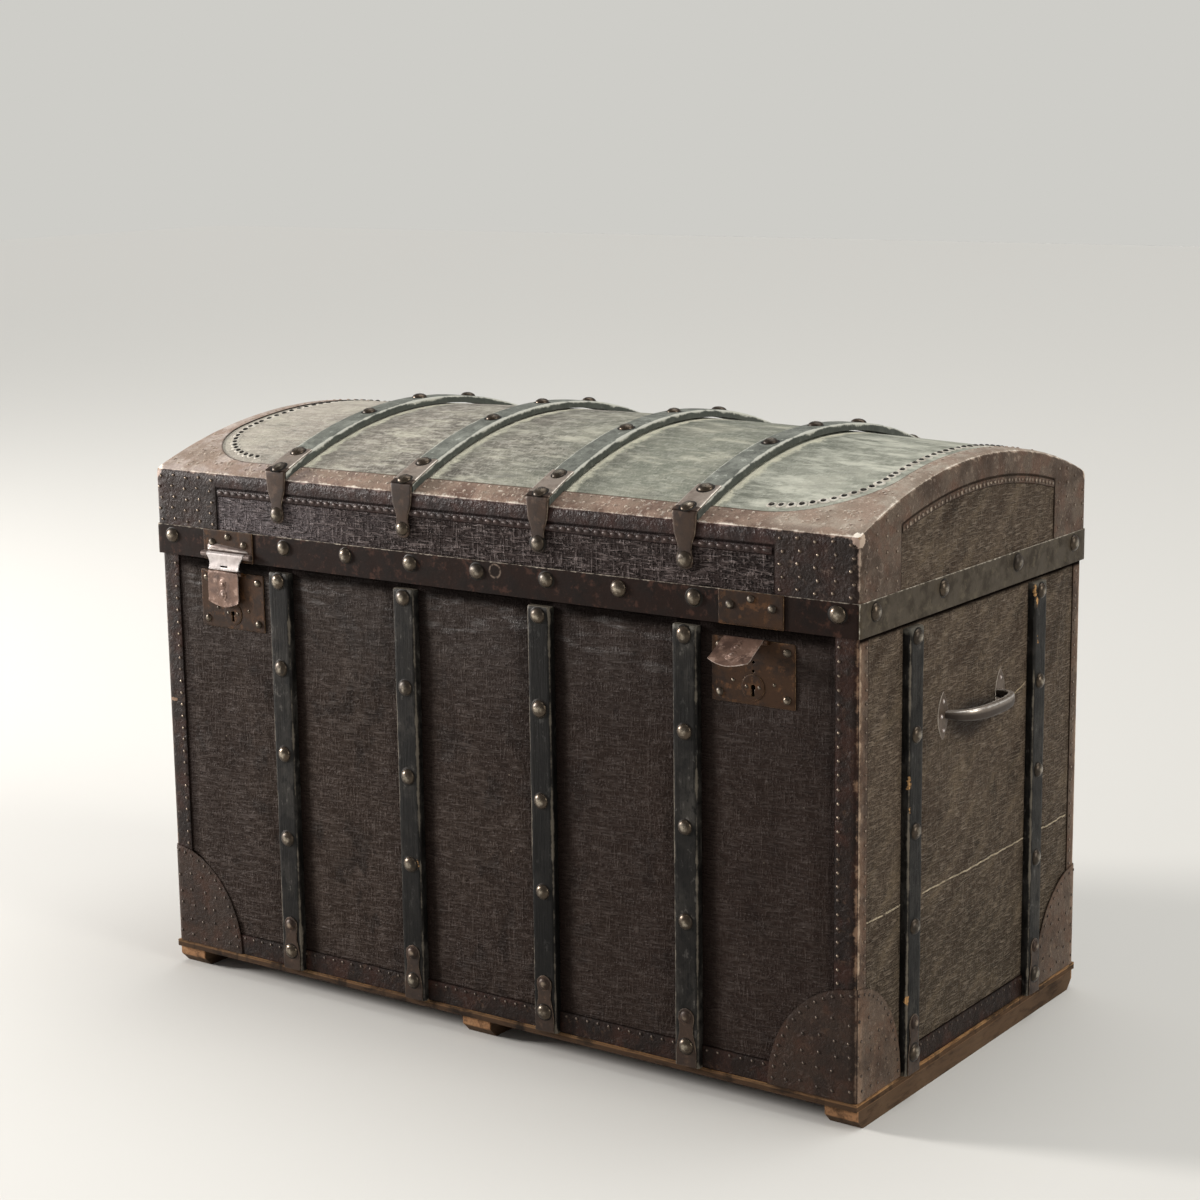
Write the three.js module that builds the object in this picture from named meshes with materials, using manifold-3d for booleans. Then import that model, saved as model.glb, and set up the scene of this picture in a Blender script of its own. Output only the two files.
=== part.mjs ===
// Dome top travelling trunk: a canvas covered plywood case on three runners, with a domed lid,
// hardwood slats, a studded sheet metal band, leather bindings, two plate locks and two end handles.
// Millimetres. X runs along the length, -Y is the front, +Z is up, z = 0 is the floor.
import * as THREE from "three";
import { mergeVertices } from "three/addons/utils/BufferGeometryUtils.js";
import Module from "manifold-3d";

const wasm = await Module();
wasm.setup();

// Overall sizes
const bandLength = 920; // over the lid band, end to end
const bandDepth = 502; // over the lid band, front to back
const partingHeight = 504; // where the lid meets the case
const lidWallHeight = 88; // front and back edges of the dome above the parting line
const domeRise = 47.4; // arch of the dome at the ends
const domeCrown = 13; // how much the dome swells further at mid length

// Clearances
const seatGap = 0.3; // between pieces that are nailed or laid on each other
const overrun = 5; // how far a cutter runs past the face that it cuts
const embed = 0.6; // how far a fused fitting is sunk into its carrier

// Boards and skins
const boardThick = 12;
const panelThick = 5; // bent plywood of the dome
const canvasThick = 0.8;
const bindingThick = 1.2;

// Base
const runnerHeight = 21;
const runnerWidth = 37;
const runnerChamfer = 11;
const runnerInset = 4; // ends of the runners behind the edge of the base board
const baseThick = 7.5;
const baseStep = 1; // base board edge behind the face of the band
const middleRunnerShift = -15;

// Lid band
const bandThick = 1.2;
const bandHeight = 34;
const bandLip = 9.6; // how far the band hangs below the parting line
const bandOverhang = 4.5; // band face in front of the body canvas

// Slats
const slatWidth = 29;
const slatThick = 8.5;
const slatChamfer = 2;
const slatEndInset = 191.5; // centres of the outer slats behind the ends of the band
const slatShift = -4; // the row of slats sits a little left of the middle
const slatTopDrop = 6; // top of a slat below the edge of the band
const endSlatFront = 144; // centre of the front slat of an end, in front of the middle
const endSlatBack = 133;
const domeSlatThick = 8;

// Studs and the metal clips under them
const studRadius = 9.2;
const studHeight = 4.6;
const slatStudDrop = 9.5; // first stud below the top of a slat
const slatStudSpacing = 98.5;
const slatStudCount = 4;
const clipHeight = 62;
const clipThick = 1.1;
const clipPoint = 7; // height of the point at the top of a clip
const clipTopWidth = 19;
const clipNeckWidth = 16;
const clipFootWidth = 24;
const clipNeckDrop = 24;
const clipFootDrop = 34;
const clipKnobRadius = 6.5;
const clipKnobHeight = 3.4;
const clipKnobDrop = 8;
const clipStudRise = 22; // stud of a clip above its foot
const bandStudRise = 22; // band studs above the lower edge of the band
const bandStudInset = 24; // outermost front studs from the ends of the band
const bandStudSpacing = 90;
const bandStudShift = 4; // the inner studs sit a little right of the middle
const bandStudPlaces = [-3, -2, -1, 0, 1, 2, 3];
const bandEndStudInset = 30; // outer studs of an end from the front and back of the band
const bandEndStudSpread = 83; // inner studs of an end from its middle
const smallStudRadius = 4;
const smallStudHeight = 2.2;

// Leather and fibre bindings
const cornerFrontWidth = 26;
const cornerEndWidth = 20;
const bottomBindingHeight = 24;
const capFrontWidth = 102;
const capHeight = 117;
const lidPatchLength = 95; // corner patch along the front of the lid
const lidPatchDepth = 81; // corner patch along the end of the lid
const lidPatchRound = 22;
const lidEdgeDrop = 16; // edge strip on the front face
const lidEdgeTop = 27; // edge strip on top of the dome
const archBindingWidth = 25;
const domePatchRadius = 100;

// Clamps that hold the ends of the dome slats
const clampTopLength = 50;
const clampTopThick = 1.2;
const clampLegThick = 2;
const clampLegWidth = 26;
const clampNeckWidth = 16;
const clampShoulderDrop = 12;
const clampNeckDrop = 26;
const clampBossRadius = 9.5;
const clampBossDrop = 38.4;
const clampStudInset = 8; // outer stud on a clamp from the face of the band
const clampStudSpacing = 33;
const domeStudSpread = 90; // studs either side of the crest

// Locks
const lockSlatGap = 14; // between a lock plate and the slat beside it
const lockPlateWidth = 95;
const lockPlateHeight = 65;
const lockPlateThick = 1.5;
const lockPlateDrop = 23; // top of a lock plate below the parting line
const lockCaseWidth = 56;
const lockCaseHeight = 38;
const lockCaseDepth = 11.4;
const lockStudInset = 9;
const keyDiscRadius = 13;
const keyDiscThick = 0.8;
const keyDiscDrop = 47.5; // centre of the keyhole disc below the top of the plate
const keyholeRadius = 1.9;
const keyholeSlotWidth = 2.4;
const keyholeSlotLength = 8;
const boltLength = 30;
const boltHeight = 8;
const boltThick = 3.4;
const boltTravel = 6;
const boltRise = 12; // centre of the bolt above the keyhole
const keyChamberWidth = 16;
const catchHoleRadius = 1.6;
const catchHoleDepth = 3;
const catchHoleDrop = 22.5;
const catchHoleSpacing = 9;

// Latch flaps on the lock plates
const latchWidth = 46;
const latchLength = 39;
const latchPoint = 6;
const latchThick = 1.3;
const latchBarrelRadius = 2.6;
const latchPinRadius = 1.1;
const latchPinClearance = 0.2;
const latchKnuckle = 5;
const latchAxisDrop = 1; // latch axis below the top of the lock plate
const latchShift = -9; // the flap hangs to the left of the middle of its plate
const latchOpenAngle = 58; // how far the right hand flap stands open at rest, in degrees
const latchStudRadius = 3;
const latchStudHeight = 1.4;
const latchStudDrop = 13;
const latchStudSpacing = 12;

// Hasp and its plates on the band
const haspPlateWidth = 74;
const haspPlateThick = 1.5;
const haspStudSpread = 24;
const haspStudDrop = 14;
const haspTopStudDrop = 6.5;
const haspStudRadius = 4.5;
const haspBarrelRadius = 3.2;
const haspPinRadius = 1.4;
const haspPinClearance = 0.2;
const haspKnuckle = 9;
const haspAxisRise = 7; // hasp axis above the lower edge of the band
const haspDrop = 16;
const haspTopWidth = 54;
const haspLipWidth = 45;
const haspThick = 1.6;
const haspLipReach = 3;
const haspSlotWidth = 14;
const haspSlotHeight = 2;

// Handles on the ends
const handleDrop = 120; // middle of a handle below the parting line
const handleShift = -11; // centre of a handle from the middle of the end
const handleHalfSpan = 60;
const handleReach = 35;
const handlePlateHeight = 50;
const handlePlateWidth = 21;
const handlePlateThick = 1.6;
const handlePlateInset = 4; // plate centres outside the feet of the grip
const handleGripHeight = 13;
const handleGripThick = 1.8;
const handleFlangeWidth = 7;
const handleRivetSpacing = 15;
const handleRivetRadius = 2;
const handleRivetHeight = 1.2;
const handleRivetShift = 4; // the middle rivet sits further from the grip
const handleBowPower = 2.6;

// Lid hinges at the back
const hingeKnuckle = 14;
const hingeMiddleKnuckle = 26;
const hingeBarrelRadius = 4.5;
const hingePinRadius = 2;
const hingePinClearance = 0.2;
const hingePinOverhang = 2;
const hingeLeafThick = 2;
const hingeLeafDrop = 40;
const hingeLeafRise = 22;
const hingeWebDepth = 8;

// Facet counts
const archSteps = 16;
const lengthSteps = 6;
const studSides = 8;
const rodSides = 12;
const discSides = 24;
const gripSteps = 12;
const roundSteps = 6;

// Levels and faces that follow from the sizes above
const baseBottom = runnerHeight + seatGap;
const baseTop = baseBottom + baseThick;
const bodyBottom = baseTop + seatGap;
const lidBottom = partingHeight + seatGap;
const lidCornerHeight = partingHeight + lidWallHeight;
const bandBottom = partingHeight - bandLip;
const bandTop = bandBottom + bandHeight;
const bandFaceX = bandLength / 2;
const bandFaceY = bandDepth / 2;
const bodyFaceX = bandFaceX - bandOverhang;
const bodyFaceY = bandFaceY - bandOverhang;
const lidFaceX = bandFaceX - bandThick - seatGap;
const lidFaceY = bandFaceY - bandThick - seatGap;
const skinStack = canvasThick + seatGap;
const slatTop = bandBottom - slatTopDrop;
const outerSlat = bandFaceX - slatEndInset;
const slatCentres = [-outerSlat, -outerSlat / 3, outerSlat / 3, outerSlat].map((place) => slatShift + place);
const lockSpread = outerSlat + slatWidth / 2 + lockSlatGap + lockPlateWidth / 2;
const lockCentres = [slatShift - lockSpread, slatShift + lockSpread];
const hingeCentres = [0, 2].map((i) => (slatCentres[i] + slatCentres[i + 1]) / 2);
const lockPlateTop = partingHeight - lockPlateDrop;
const handleHeight = partingHeight - handleDrop;
const lockPlateFace = -(bodyFaceY + seatGap + lockPlateThick);
const keyholeHeight = lockPlateTop - keyDiscDrop;
const boltCentreHeight = keyholeHeight + boltRise;
const endSlatCentres = { front: -endSlatFront, back: endSlatBack };

// Finishes
const finish = (name, color, roughness, metalness) =>
  new THREE.MeshStandardMaterial({ name, color, roughness, metalness });
const finishes = {
  runner: () => finish("runner_wood", 0x785a41, 0.85, 0),
  base: () => finish("base_ply", 0xa07c55, 0.85, 0),
  board: () => finish("inner_ply", 0x9c7d5b, 0.8, 0),
  canvas: () => finish("body_canvas", 0x3d3430, 0.9, 0),
  domeCanvas: () => finish("dome_canvas", 0x6e7064, 0.9, 0),
  leather: () => finish("binding_leather", 0x4a3330, 0.7, 0),
  slat: () => finish("slat_paint", 0x2d3432, 0.55, 0),
  band: () => finish("band_metal", 0x463c37, 0.5, 0.7),
  brass: () => finish("lock_brass", 0x5c4430, 0.45, 0.9),
  steel: () => finish("worn_steel", 0x8a8078, 0.4, 0.95),
};

// Solids: geometry to closed solid and back
function solid(geometry) {
  const plain = geometry.index ? geometry.toNonIndexed() : geometry.clone();
  plain.deleteAttribute("normal");
  plain.deleteAttribute("uv");
  const merged = mergeVertices(plain);
  return new wasm.Manifold(
    new wasm.Mesh({
      numProp: 3,
      vertProperties: merged.attributes.position.array,
      triVerts: new Uint32Array(merged.index.array),
    }),
  );
}

function geometryOf(body) {
  const mesh = body.getMesh();
  return new THREE.BufferGeometry()
    .setAttribute("position", new THREE.BufferAttribute(mesh.vertProperties, 3))
    .setIndex(new THREE.BufferAttribute(mesh.triVerts, 1))
    .toNonIndexed();
}

function box(x0, x1, y0, y1, z0, z1) {
  const geometry = new THREE.BoxGeometry(x1 - x0, y1 - y0, z1 - z0);
  return solid(geometry.translate((x0 + x1) / 2, (y0 + y1) / 2, (z0 + z1) / 2));
}

// A flat outline of [across, up] points, pushed out square to it.
function plate(outline, depth) {
  const shape = new THREE.Shape(outline.map(([across, up]) => new THREE.Vector2(across, up)));
  return new THREE.ExtrudeGeometry(shape, { depth, bevelEnabled: false });
}

// The same outline standing up: across along X and thick from y0 to y1.
function frontPlate(outline, y0, y1) {
  return solid(plate(outline, y1 - y0).rotateX(Math.PI / 2).translate(0, y1, 0));
}

// Across along Y and thick from x0 to x1.
function sidePlate(outline, x0, x1) {
  return solid(plate(outline, x1 - x0).rotateX(Math.PI / 2).rotateZ(Math.PI / 2).translate(x0, 0, 0));
}

function flatPlate(outline, z0, z1) {
  return solid(plate(outline, z1 - z0).translate(0, 0, z0));
}

function rodX(x0, x1, y, z, radius) {
  const geometry = new THREE.CylinderGeometry(radius, radius, x1 - x0, rodSides);
  return solid(geometry.rotateZ(Math.PI / 2).translate((x0 + x1) / 2, y, z));
}

function rodY(x, y0, y1, z, radius, sideCount) {
  const geometry = new THREE.CylinderGeometry(radius, radius, y1 - y0, sideCount);
  return solid(geometry.translate(x, (y0 + y1) / 2, z));
}

function union(...bodies) {
  return bodies.flat().reduce((whole, body) => whole.add(body));
}

function cut(body, ...cutters) {
  return cutters.flat().reduce((whole, cutter) => whole.subtract(cutter), body);
}

// A domed stud whose head points along -Y, its seat on the plane y = 0.
function studGeometry(radius, height) {
  const shoulderShare = 0.74;
  const profile = [
    new THREE.Vector2(0, -embed),
    new THREE.Vector2(radius, -embed),
    new THREE.Vector2(radius * shoulderShare, height * shoulderShare),
    new THREE.Vector2(0, height),
  ];
  return new THREE.LatheGeometry(profile, studSides).rotateX(Math.PI);
}

// Faces of the case and the turn that takes a front fitting onto each of them.
const turns = { front: 0, back: Math.PI, left: -Math.PI / 2, right: Math.PI / 2 };

function studOnFace(side, across, face, up, radius = studRadius, height = studHeight) {
  const geometry = studGeometry(radius, height).translate(across, -face, up);
  return solid(geometry.rotateZ(turns[side]));
}

// The dome: height of a surface that lies inset below the outside of the lid canvas.
const domeRadius = (lidFaceY * lidFaceY + domeRise * domeRise) / (2 * domeRise);
const domeCentreHeight = lidCornerHeight + domeRise - domeRadius;

function domeHeight(x, y, inset) {
  const radius = domeRadius - inset;
  const along = x / bandFaceX;
  const across = y / lidFaceY;
  const swell = domeCrown * (1 - along * along) * (1 - across * across);
  return domeCentreHeight + Math.sqrt(radius * radius - y * y) + swell;
}

const spread = (from, to, steps) =>
  Array.from({ length: steps + 1 }, (unused, i) => from + ((to - from) * i) / steps);

// A closed solid between two height functions over a grid of x and y places.
function loft(xs, ys, top, bottom) {
  const columns = ys.length;
  const half = xs.length * columns;
  const positions = [];
  for (const height of [top, bottom]) {
    for (const x of xs) for (const y of ys) positions.push(x, y, height(x, y));
  }
  const index = [];
  const quad = (a, b, c, d) => index.push(a, b, c, a, c, d);
  const at = (i, j, level) => level * half + i * columns + j;
  for (let i = 0; i + 1 < xs.length; i++) {
    for (let j = 0; j + 1 < columns; j++) {
      quad(at(i, j, 0), at(i + 1, j, 0), at(i + 1, j + 1, 0), at(i, j + 1, 0));
      quad(at(i, j, 1), at(i, j + 1, 1), at(i + 1, j + 1, 1), at(i + 1, j, 1));
    }
  }
  const lastX = xs.length - 1;
  const lastY = columns - 1;
  for (let i = 0; i < lastX; i++) {
    quad(at(i, 0, 1), at(i + 1, 0, 1), at(i + 1, 0, 0), at(i, 0, 0));
    quad(at(i + 1, lastY, 1), at(i, lastY, 1), at(i, lastY, 0), at(i + 1, lastY, 0));
  }
  for (let j = 0; j < lastY; j++) {
    quad(at(0, j + 1, 1), at(0, j, 1), at(0, j, 0), at(0, j + 1, 0));
    quad(at(lastX, j, 1), at(lastX, j + 1, 1), at(lastX, j + 1, 0), at(lastX, j, 0));
  }
  const geometry = new THREE.BufferGeometry()
    .setAttribute("position", new THREE.Float32BufferAttribute(positions, 3))
    .setIndex(index);
  return solid(geometry);
}

// The whole lid as a block: everything below a dome surface and inside the matching walls.
function lidBlock(inset, floor) {
  const reachX = lidFaceX - inset;
  const reachY = lidFaceY - inset;
  const xs = spread(-reachX, reachX, lengthSteps);
  const ys = spread(-reachY, reachY, archSteps);
  return loft(xs, ys, (x, y) => domeHeight(x, y, inset), () => floor);
}

// Scene graph
const trunk = new THREE.Group();
const body = new THREE.Group();
const lid = new THREE.Group();
trunk.add(body, lid);

function place(group, name, shape, material) {
  const mesh = new THREE.Mesh(geometryOf(shape), material);
  mesh.name = name;
  mesh.geometry.computeVertexNormals();
  group.add(mesh);
  return mesh;
}

// Base board and runners
function runner(centre) {
  const reach = bandFaceY - baseStep - runnerInset;
  const outline = [
    [-reach, runnerChamfer],
    [-reach + runnerChamfer, 0],
    [reach - runnerChamfer, 0],
    [reach, runnerChamfer],
    [reach, runnerHeight],
    [-reach, runnerHeight],
  ];
  return sidePlate(outline, centre - runnerWidth / 2, centre + runnerWidth / 2);
}

const baseFaceX = bandFaceX - baseStep;
const baseFaceY = bandFaceY - baseStep;
const outerRunner = baseFaceX - baseStep - runnerWidth / 2;
place(body, "runner_left", runner(-outerRunner), finishes.runner());
place(body, "runner_middle", runner(middleRunnerShift), finishes.runner());
place(body, "runner_right", runner(outerRunner), finishes.runner());
const baseBoard = box(-baseFaceX, baseFaceX, -baseFaceY, baseFaceY, baseBottom, baseTop);
place(body, "base_board", baseBoard, finishes.base());

// Case boards: the front and back run full length, the ends stand between them
const boardFaceX = bodyFaceX - skinStack;
const boardFaceY = bodyFaceY - skinStack;
const endBoardReach = boardFaceY - boardThick - seatGap;

const lockHoles = lockCentres.map((centre) => {
  const half = lockCaseWidth / 2 + seatGap;
  const rise = lockCaseHeight / 2 + seatGap;
  const back = -boardFaceY + boardThick + overrun;
  const low = boltCentreHeight - rise;
  return box(centre - half, centre + half, -bodyFaceY - overrun, back, low, boltCentreHeight + rise);
});
const wall = box(-boardFaceX, boardFaceX, boardFaceY - boardThick, boardFaceY, bodyBottom, partingHeight);
place(body, "front_board", cut(wall.mirror([0, 1, 0]), lockHoles), finishes.board());
place(body, "back_board", wall, finishes.board());
const endWall = box(
  boardFaceX - boardThick,
  boardFaceX,
  -endBoardReach,
  endBoardReach,
  bodyBottom,
  partingHeight,
);
place(body, "right_end_board", endWall, finishes.board());
place(body, "left_end_board", endWall.mirror([1, 0, 0]), finishes.board());

// A four sided ring of sheet round the case
function ring(faceX, faceY, thick, z0, z1) {
  const inner = box(-faceX + thick, faceX - thick, -faceY + thick, faceY - thick, z0 - overrun, z1 + overrun);
  return cut(box(-faceX, faceX, -faceY, faceY, z0, z1), inner);
}

const bodySkin = cut(ring(bodyFaceX, bodyFaceY, canvasThick, bodyBottom, partingHeight), lockHoles);
place(body, "body_canvas", bodySkin, finishes.canvas());

// Bindings on the case
const bindingFaceX = bodyFaceX + seatGap + bindingThick;
const bindingFaceY = bodyFaceY + seatGap + bindingThick;
const bottomBindingTop = bodyBottom + bottomBindingHeight;
const bottomBinding = ring(bindingFaceX, bindingFaceY, bindingThick, bodyBottom, bottomBindingTop);
place(body, "bottom_binding", bottomBinding, finishes.leather());

const corners = {
  front_left: [-1, -1],
  front_right: [1, -1],
  back_left: [-1, 1],
  back_right: [1, 1],
};

function atCorner(shape, [sideX, sideY]) {
  const alongX = sideX < 0 ? shape.mirror([1, 0, 0]) : shape;
  return sideY > 0 ? alongX.mirror([0, 1, 0]) : alongX;
}

function cornerAngle(faceX, faceY, thick, frontWidth, endWidth, z0, z1) {
  const outer = box(faceX - frontWidth, faceX, -faceY, -faceY + endWidth, z0, z1);
  const inner = box(
    faceX - frontWidth - overrun,
    faceX - thick,
    -faceY + thick,
    -faceY + endWidth + overrun,
    z0 - overrun,
    z1 + overrun,
  );
  return cut(outer, inner);
}

const cornerBinding = cornerAngle(
  bindingFaceX,
  bindingFaceY,
  bindingThick,
  cornerFrontWidth,
  cornerEndWidth,
  bottomBindingTop + seatGap,
  partingHeight,
);
for (const [corner, ways] of Object.entries(corners)) {
  place(body, "corner_binding_" + corner, atCorner(cornerBinding, ways), finishes.leather());
}

// Bottom corner caps: a quarter round leg on each face, over the bindings
const capFaceX = bindingFaceX + seatGap + bindingThick;
const capFaceY = bindingFaceY + seatGap + bindingThick;

function quarterRound(leg, height) {
  const angles = spread(0, Math.PI / 2, roundSteps);
  return [[0, 0], ...angles.map((angle) => [leg * Math.cos(angle), height * Math.sin(angle)])];
}

function bottomCap(endWidth) {
  const front = frontPlate(quarterRound(capFrontWidth, capHeight), 0, bindingThick)
    .mirror([1, 0, 0])
    .translate([capFaceX, -capFaceY, bodyBottom]);
  const end = sidePlate(quarterRound(endWidth, capHeight), 0, bindingThick).translate([
    capFaceX - bindingThick,
    -capFaceY,
    bodyBottom,
  ]);
  return union(front, end);
}

const capEndWidths = {
  [-1]: capFaceY - endSlatFront - slatWidth / 2 - seatGap,
  [1]: capFaceY - endSlatBack - slatWidth / 2 - seatGap,
};
for (const [corner, ways] of Object.entries(corners)) {
  const cap = atCorner(bottomCap(capEndWidths[ways[1]]), ways);
  place(body, "bottom_cap_" + corner, cap, finishes.leather());
}

// Upright slats, notched over the bottom binding, with a metal clip and studs at the foot
function slatBlank() {
  const half = slatWidth / 2;
  const outline = [
    [-half, 0],
    [-half, -slatThick + slatChamfer],
    [-half + slatChamfer, -slatThick],
    [half - slatChamfer, -slatThick],
    [half, -slatThick + slatChamfer],
    [half, 0],
  ];
  const bar = flatPlate(outline, bodyBottom, slatTop);
  const notchTop = bottomBindingTop + seatGap;
  const notch = box(-slatWidth, slatWidth, -bindingThick - seatGap, overrun, baseBottom, notchTop);
  const clipTop = bodyBottom + clipHeight;
  const clipHalf = [
    [clipFootWidth / 2, bodyBottom],
    [clipFootWidth / 2, clipTop - clipFootDrop],
    [clipNeckWidth / 2, clipTop - clipNeckDrop],
    [clipTopWidth / 2, clipTop - clipPoint],
  ];
  const clipOutline = [...clipHalf, [0, clipTop], ...clipHalf.map(([across, up]) => [-across, up]).reverse()];
  const clipFace = slatThick + clipThick;
  const clip = frontPlate(clipOutline, -clipFace, -slatThick + embed);
  const knob = studOnFace("front", 0, clipFace, clipTop - clipKnobDrop, clipKnobRadius, clipKnobHeight);
  const studs = [studOnFace("front", 0, clipFace, bodyBottom + clipStudRise)];
  for (let i = 0; i < slatStudCount; i++) {
    studs.push(studOnFace("front", 0, slatThick, slatTop - slatStudDrop - i * slatStudSpacing));
  }
  return union(cut(bar, notch), clip, knob, studs);
}

const uprightSlat = slatBlank();

function slatOnFace(side, across, face) {
  const degrees = (turns[side] * 180) / Math.PI;
  return uprightSlat.translate([across, -face - seatGap, 0]).rotate([0, 0, degrees]);
}

slatCentres.forEach((centre, i) => {
  place(body, "front_slat_" + (i + 1), slatOnFace("front", centre, bodyFaceY), finishes.slat());
  place(body, "back_slat_" + (i + 1), slatOnFace("back", -centre, bodyFaceY), finishes.slat());
});
for (const [where, centre] of Object.entries(endSlatCentres)) {
  place(body, "right_slat_" + where, slatOnFace("right", centre, bodyFaceX), finishes.slat());
  place(body, "left_slat_" + where, slatOnFace("left", -centre, bodyFaceX), finishes.slat());
}

// Locks: a plate with its case let into the front board, and a bolt that slides inside
const latchAxisHeight = lockPlateTop - latchAxisDrop;
const latchAxisY = lockPlateFace - latchBarrelRadius - seatGap;
const latchHalf = latchWidth / 2;
const latchCentres = lockCentres.map((centre) => centre + latchShift);
const boltPocketHalf = (boltLength + boltTravel) / 2 + seatGap;
const boltBack = -boardFaceY + boardThick / 2 + boltThick / 2;

function keyhole(centre) {
  const start = lockPlateFace - overrun;
  const round = rodY(centre, start, boltBack, keyholeHeight, keyholeRadius, studSides);
  const slot = box(
    centre - keyholeSlotWidth / 2,
    centre + keyholeSlotWidth / 2,
    start,
    boltBack,
    keyholeHeight - keyholeSlotLength,
    keyholeHeight,
  );
  return union(round, slot);
}

function lock(centre) {
  const latchCentre = centre + latchShift;
  const half = lockPlateWidth / 2;
  const plateBack = -bodyFaceY - seatGap;
  const plateBottom = lockPlateTop - lockPlateHeight;
  const face = box(centre - half, centre + half, lockPlateFace, plateBack, plateBottom, lockPlateTop);
  const caseLow = boltCentreHeight - lockCaseHeight / 2;
  const caseBox = box(
    centre - lockCaseWidth / 2,
    centre + lockCaseWidth / 2,
    plateBack - embed,
    plateBack + lockCaseDepth,
    caseLow,
    caseLow + lockCaseHeight,
  );
  const discFront = lockPlateFace - keyDiscThick;
  const disc = rodY(centre, discFront, lockPlateFace + embed, keyholeHeight, keyDiscRadius, discSides);
  const studs = [];
  for (const across of [-half + lockStudInset, half - lockStudInset]) {
    for (const up of [plateBottom + lockStudInset, lockPlateTop - lockStudInset]) {
      studs.push(studOnFace("front", centre + across, -lockPlateFace, up, smallStudRadius, smallStudHeight));
    }
  }
  const knuckles = [-latchHalf - latchKnuckle, latchHalf].map((place) => {
    const start = latchCentre + place;
    const end = start + latchKnuckle;
    const low = latchAxisHeight - latchBarrelRadius;
    const round = rodX(start, end, latchAxisY, latchAxisHeight, latchBarrelRadius);
    return union(round, box(start, end, latchAxisY, lockPlateFace + embed, low, lockPlateTop));
  });
  const pinHalf = latchHalf + embed;
  const pin = rodX(latchCentre - pinHalf, latchCentre + pinHalf, latchAxisY, latchAxisHeight, latchPinRadius);
  const pocket = box(
    centre - boltPocketHalf,
    centre + boltPocketHalf,
    boltBack - boltThick - seatGap,
    boltBack + seatGap,
    boltCentreHeight - boltHeight / 2 - seatGap,
    boltCentreHeight + boltHeight / 2 + seatGap,
  );
  const keyChamber = box(
    centre - keyChamberWidth / 2,
    centre + keyChamberWidth / 2,
    boltBack - boltThick - seatGap,
    boltBack + seatGap,
    keyholeHeight - keyholeSlotLength,
    boltCentreHeight,
  );
  const catchHoles = [0, 1].map((i) => {
    const up = lockPlateTop - catchHoleDrop - i * catchHoleSpacing;
    const end = lockPlateFace + catchHoleDepth;
    return rodY(centre, lockPlateFace - overrun, end, up, catchHoleRadius, studSides);
  });
  const whole = union(face, caseBox, disc, studs, knuckles, pin);
  return cut(whole, pocket, keyChamber, keyhole(centre), catchHoles);
}

function lockBolt(centre) {
  const start = centre - boltPocketHalf + seatGap;
  const low = boltCentreHeight - boltHeight / 2;
  return box(start, start + boltLength, boltBack - boltThick, boltBack, low, low + boltHeight);
}

// A latch flap hanging closed: a barrel on its pin and a plate with a pointed foot
function latchFlap(centre) {
  const half = latchHalf - seatGap;
  const hole = rodX(
    centre - latchWidth,
    centre + latchWidth,
    latchAxisY,
    latchAxisHeight,
    latchPinRadius + latchPinClearance,
  );
  const barrel = rodX(centre - half, centre + half, latchAxisY, latchAxisHeight, latchBarrelRadius);
  const outline = [
    [centre - half, latchAxisHeight],
    [centre - half, latchAxisHeight - latchLength + latchPoint],
    [centre, latchAxisHeight - latchLength],
    [centre + half, latchAxisHeight - latchLength + latchPoint],
    [centre + half, latchAxisHeight],
  ];
  const front = latchAxisY - latchBarrelRadius;
  const sheet = frontPlate(outline, front, front + latchThick);
  const studs = [0, 1].map((i) => {
    const up = latchAxisHeight - latchStudDrop - i * latchStudSpacing;
    return studOnFace("front", centre, -front, up, latchStudRadius, latchStudHeight);
  });
  return cut(union(barrel, sheet, studs), hole);
}

const sides = ["left", "right"];
sides.forEach((side, i) => {
  place(body, "lock_" + side, lock(lockCentres[i]), finishes.brass());
  place(body, "lock_bolt_" + side, lockBolt(lockCentres[i]), finishes.steel());
});
place(body, "latch_left", latchFlap(latchCentres[0]), finishes.brass());

// The right hand flap stands open: it is turned about its own pin.
const openLatch = new THREE.Group();
openLatch.position.set(0, latchAxisY, latchAxisHeight);
openLatch.rotation.x = (-latchOpenAngle * Math.PI) / 180;
const rightFlap = latchFlap(latchCentres[1]).translate([0, -latchAxisY, -latchAxisHeight]);
place(openLatch, "latch_right", rightFlap, finishes.brass());
body.add(openLatch);

// Handles: a stamped trough bowed out between two pointed oval plates
function bow(halfSpan, reach) {
  const points = [];
  for (const t of spread(0, Math.PI, gripSteps)) {
    const c = Math.cos(t);
    const along = -Math.sign(c) * Math.pow(Math.abs(c), 2 / handleBowPower) * halfSpan;
    points.push([Math.pow(Math.sin(t), 2 / handleBowPower) * reach, along]);
  }
  return points;
}

function bowStrip(thick, z0, z1) {
  const outer = bow(handleHalfSpan, handleReach);
  const inner = bow(handleHalfSpan - thick, handleReach - thick).reverse();
  const sunk = handlePlateThick / 2;
  const outline = [...outer, ...inner].map(([out, along]) => [Math.max(out, sunk), along]);
  return flatPlate(outline, z0, z1);
}

function pointedOval(centre) {
  const halfWidth = handlePlateWidth / 2;
  const halfHeight = handlePlateHeight / 2;
  const outer = spread(-1, 1, roundSteps * 2).map((t) => [centre + halfWidth * (1 - t * t), t * halfHeight]);
  const inner = outer.slice(1, -1).map(([across, up]) => [centre * 2 - across, up]);
  return [...outer, ...inner.reverse()];
}

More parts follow.
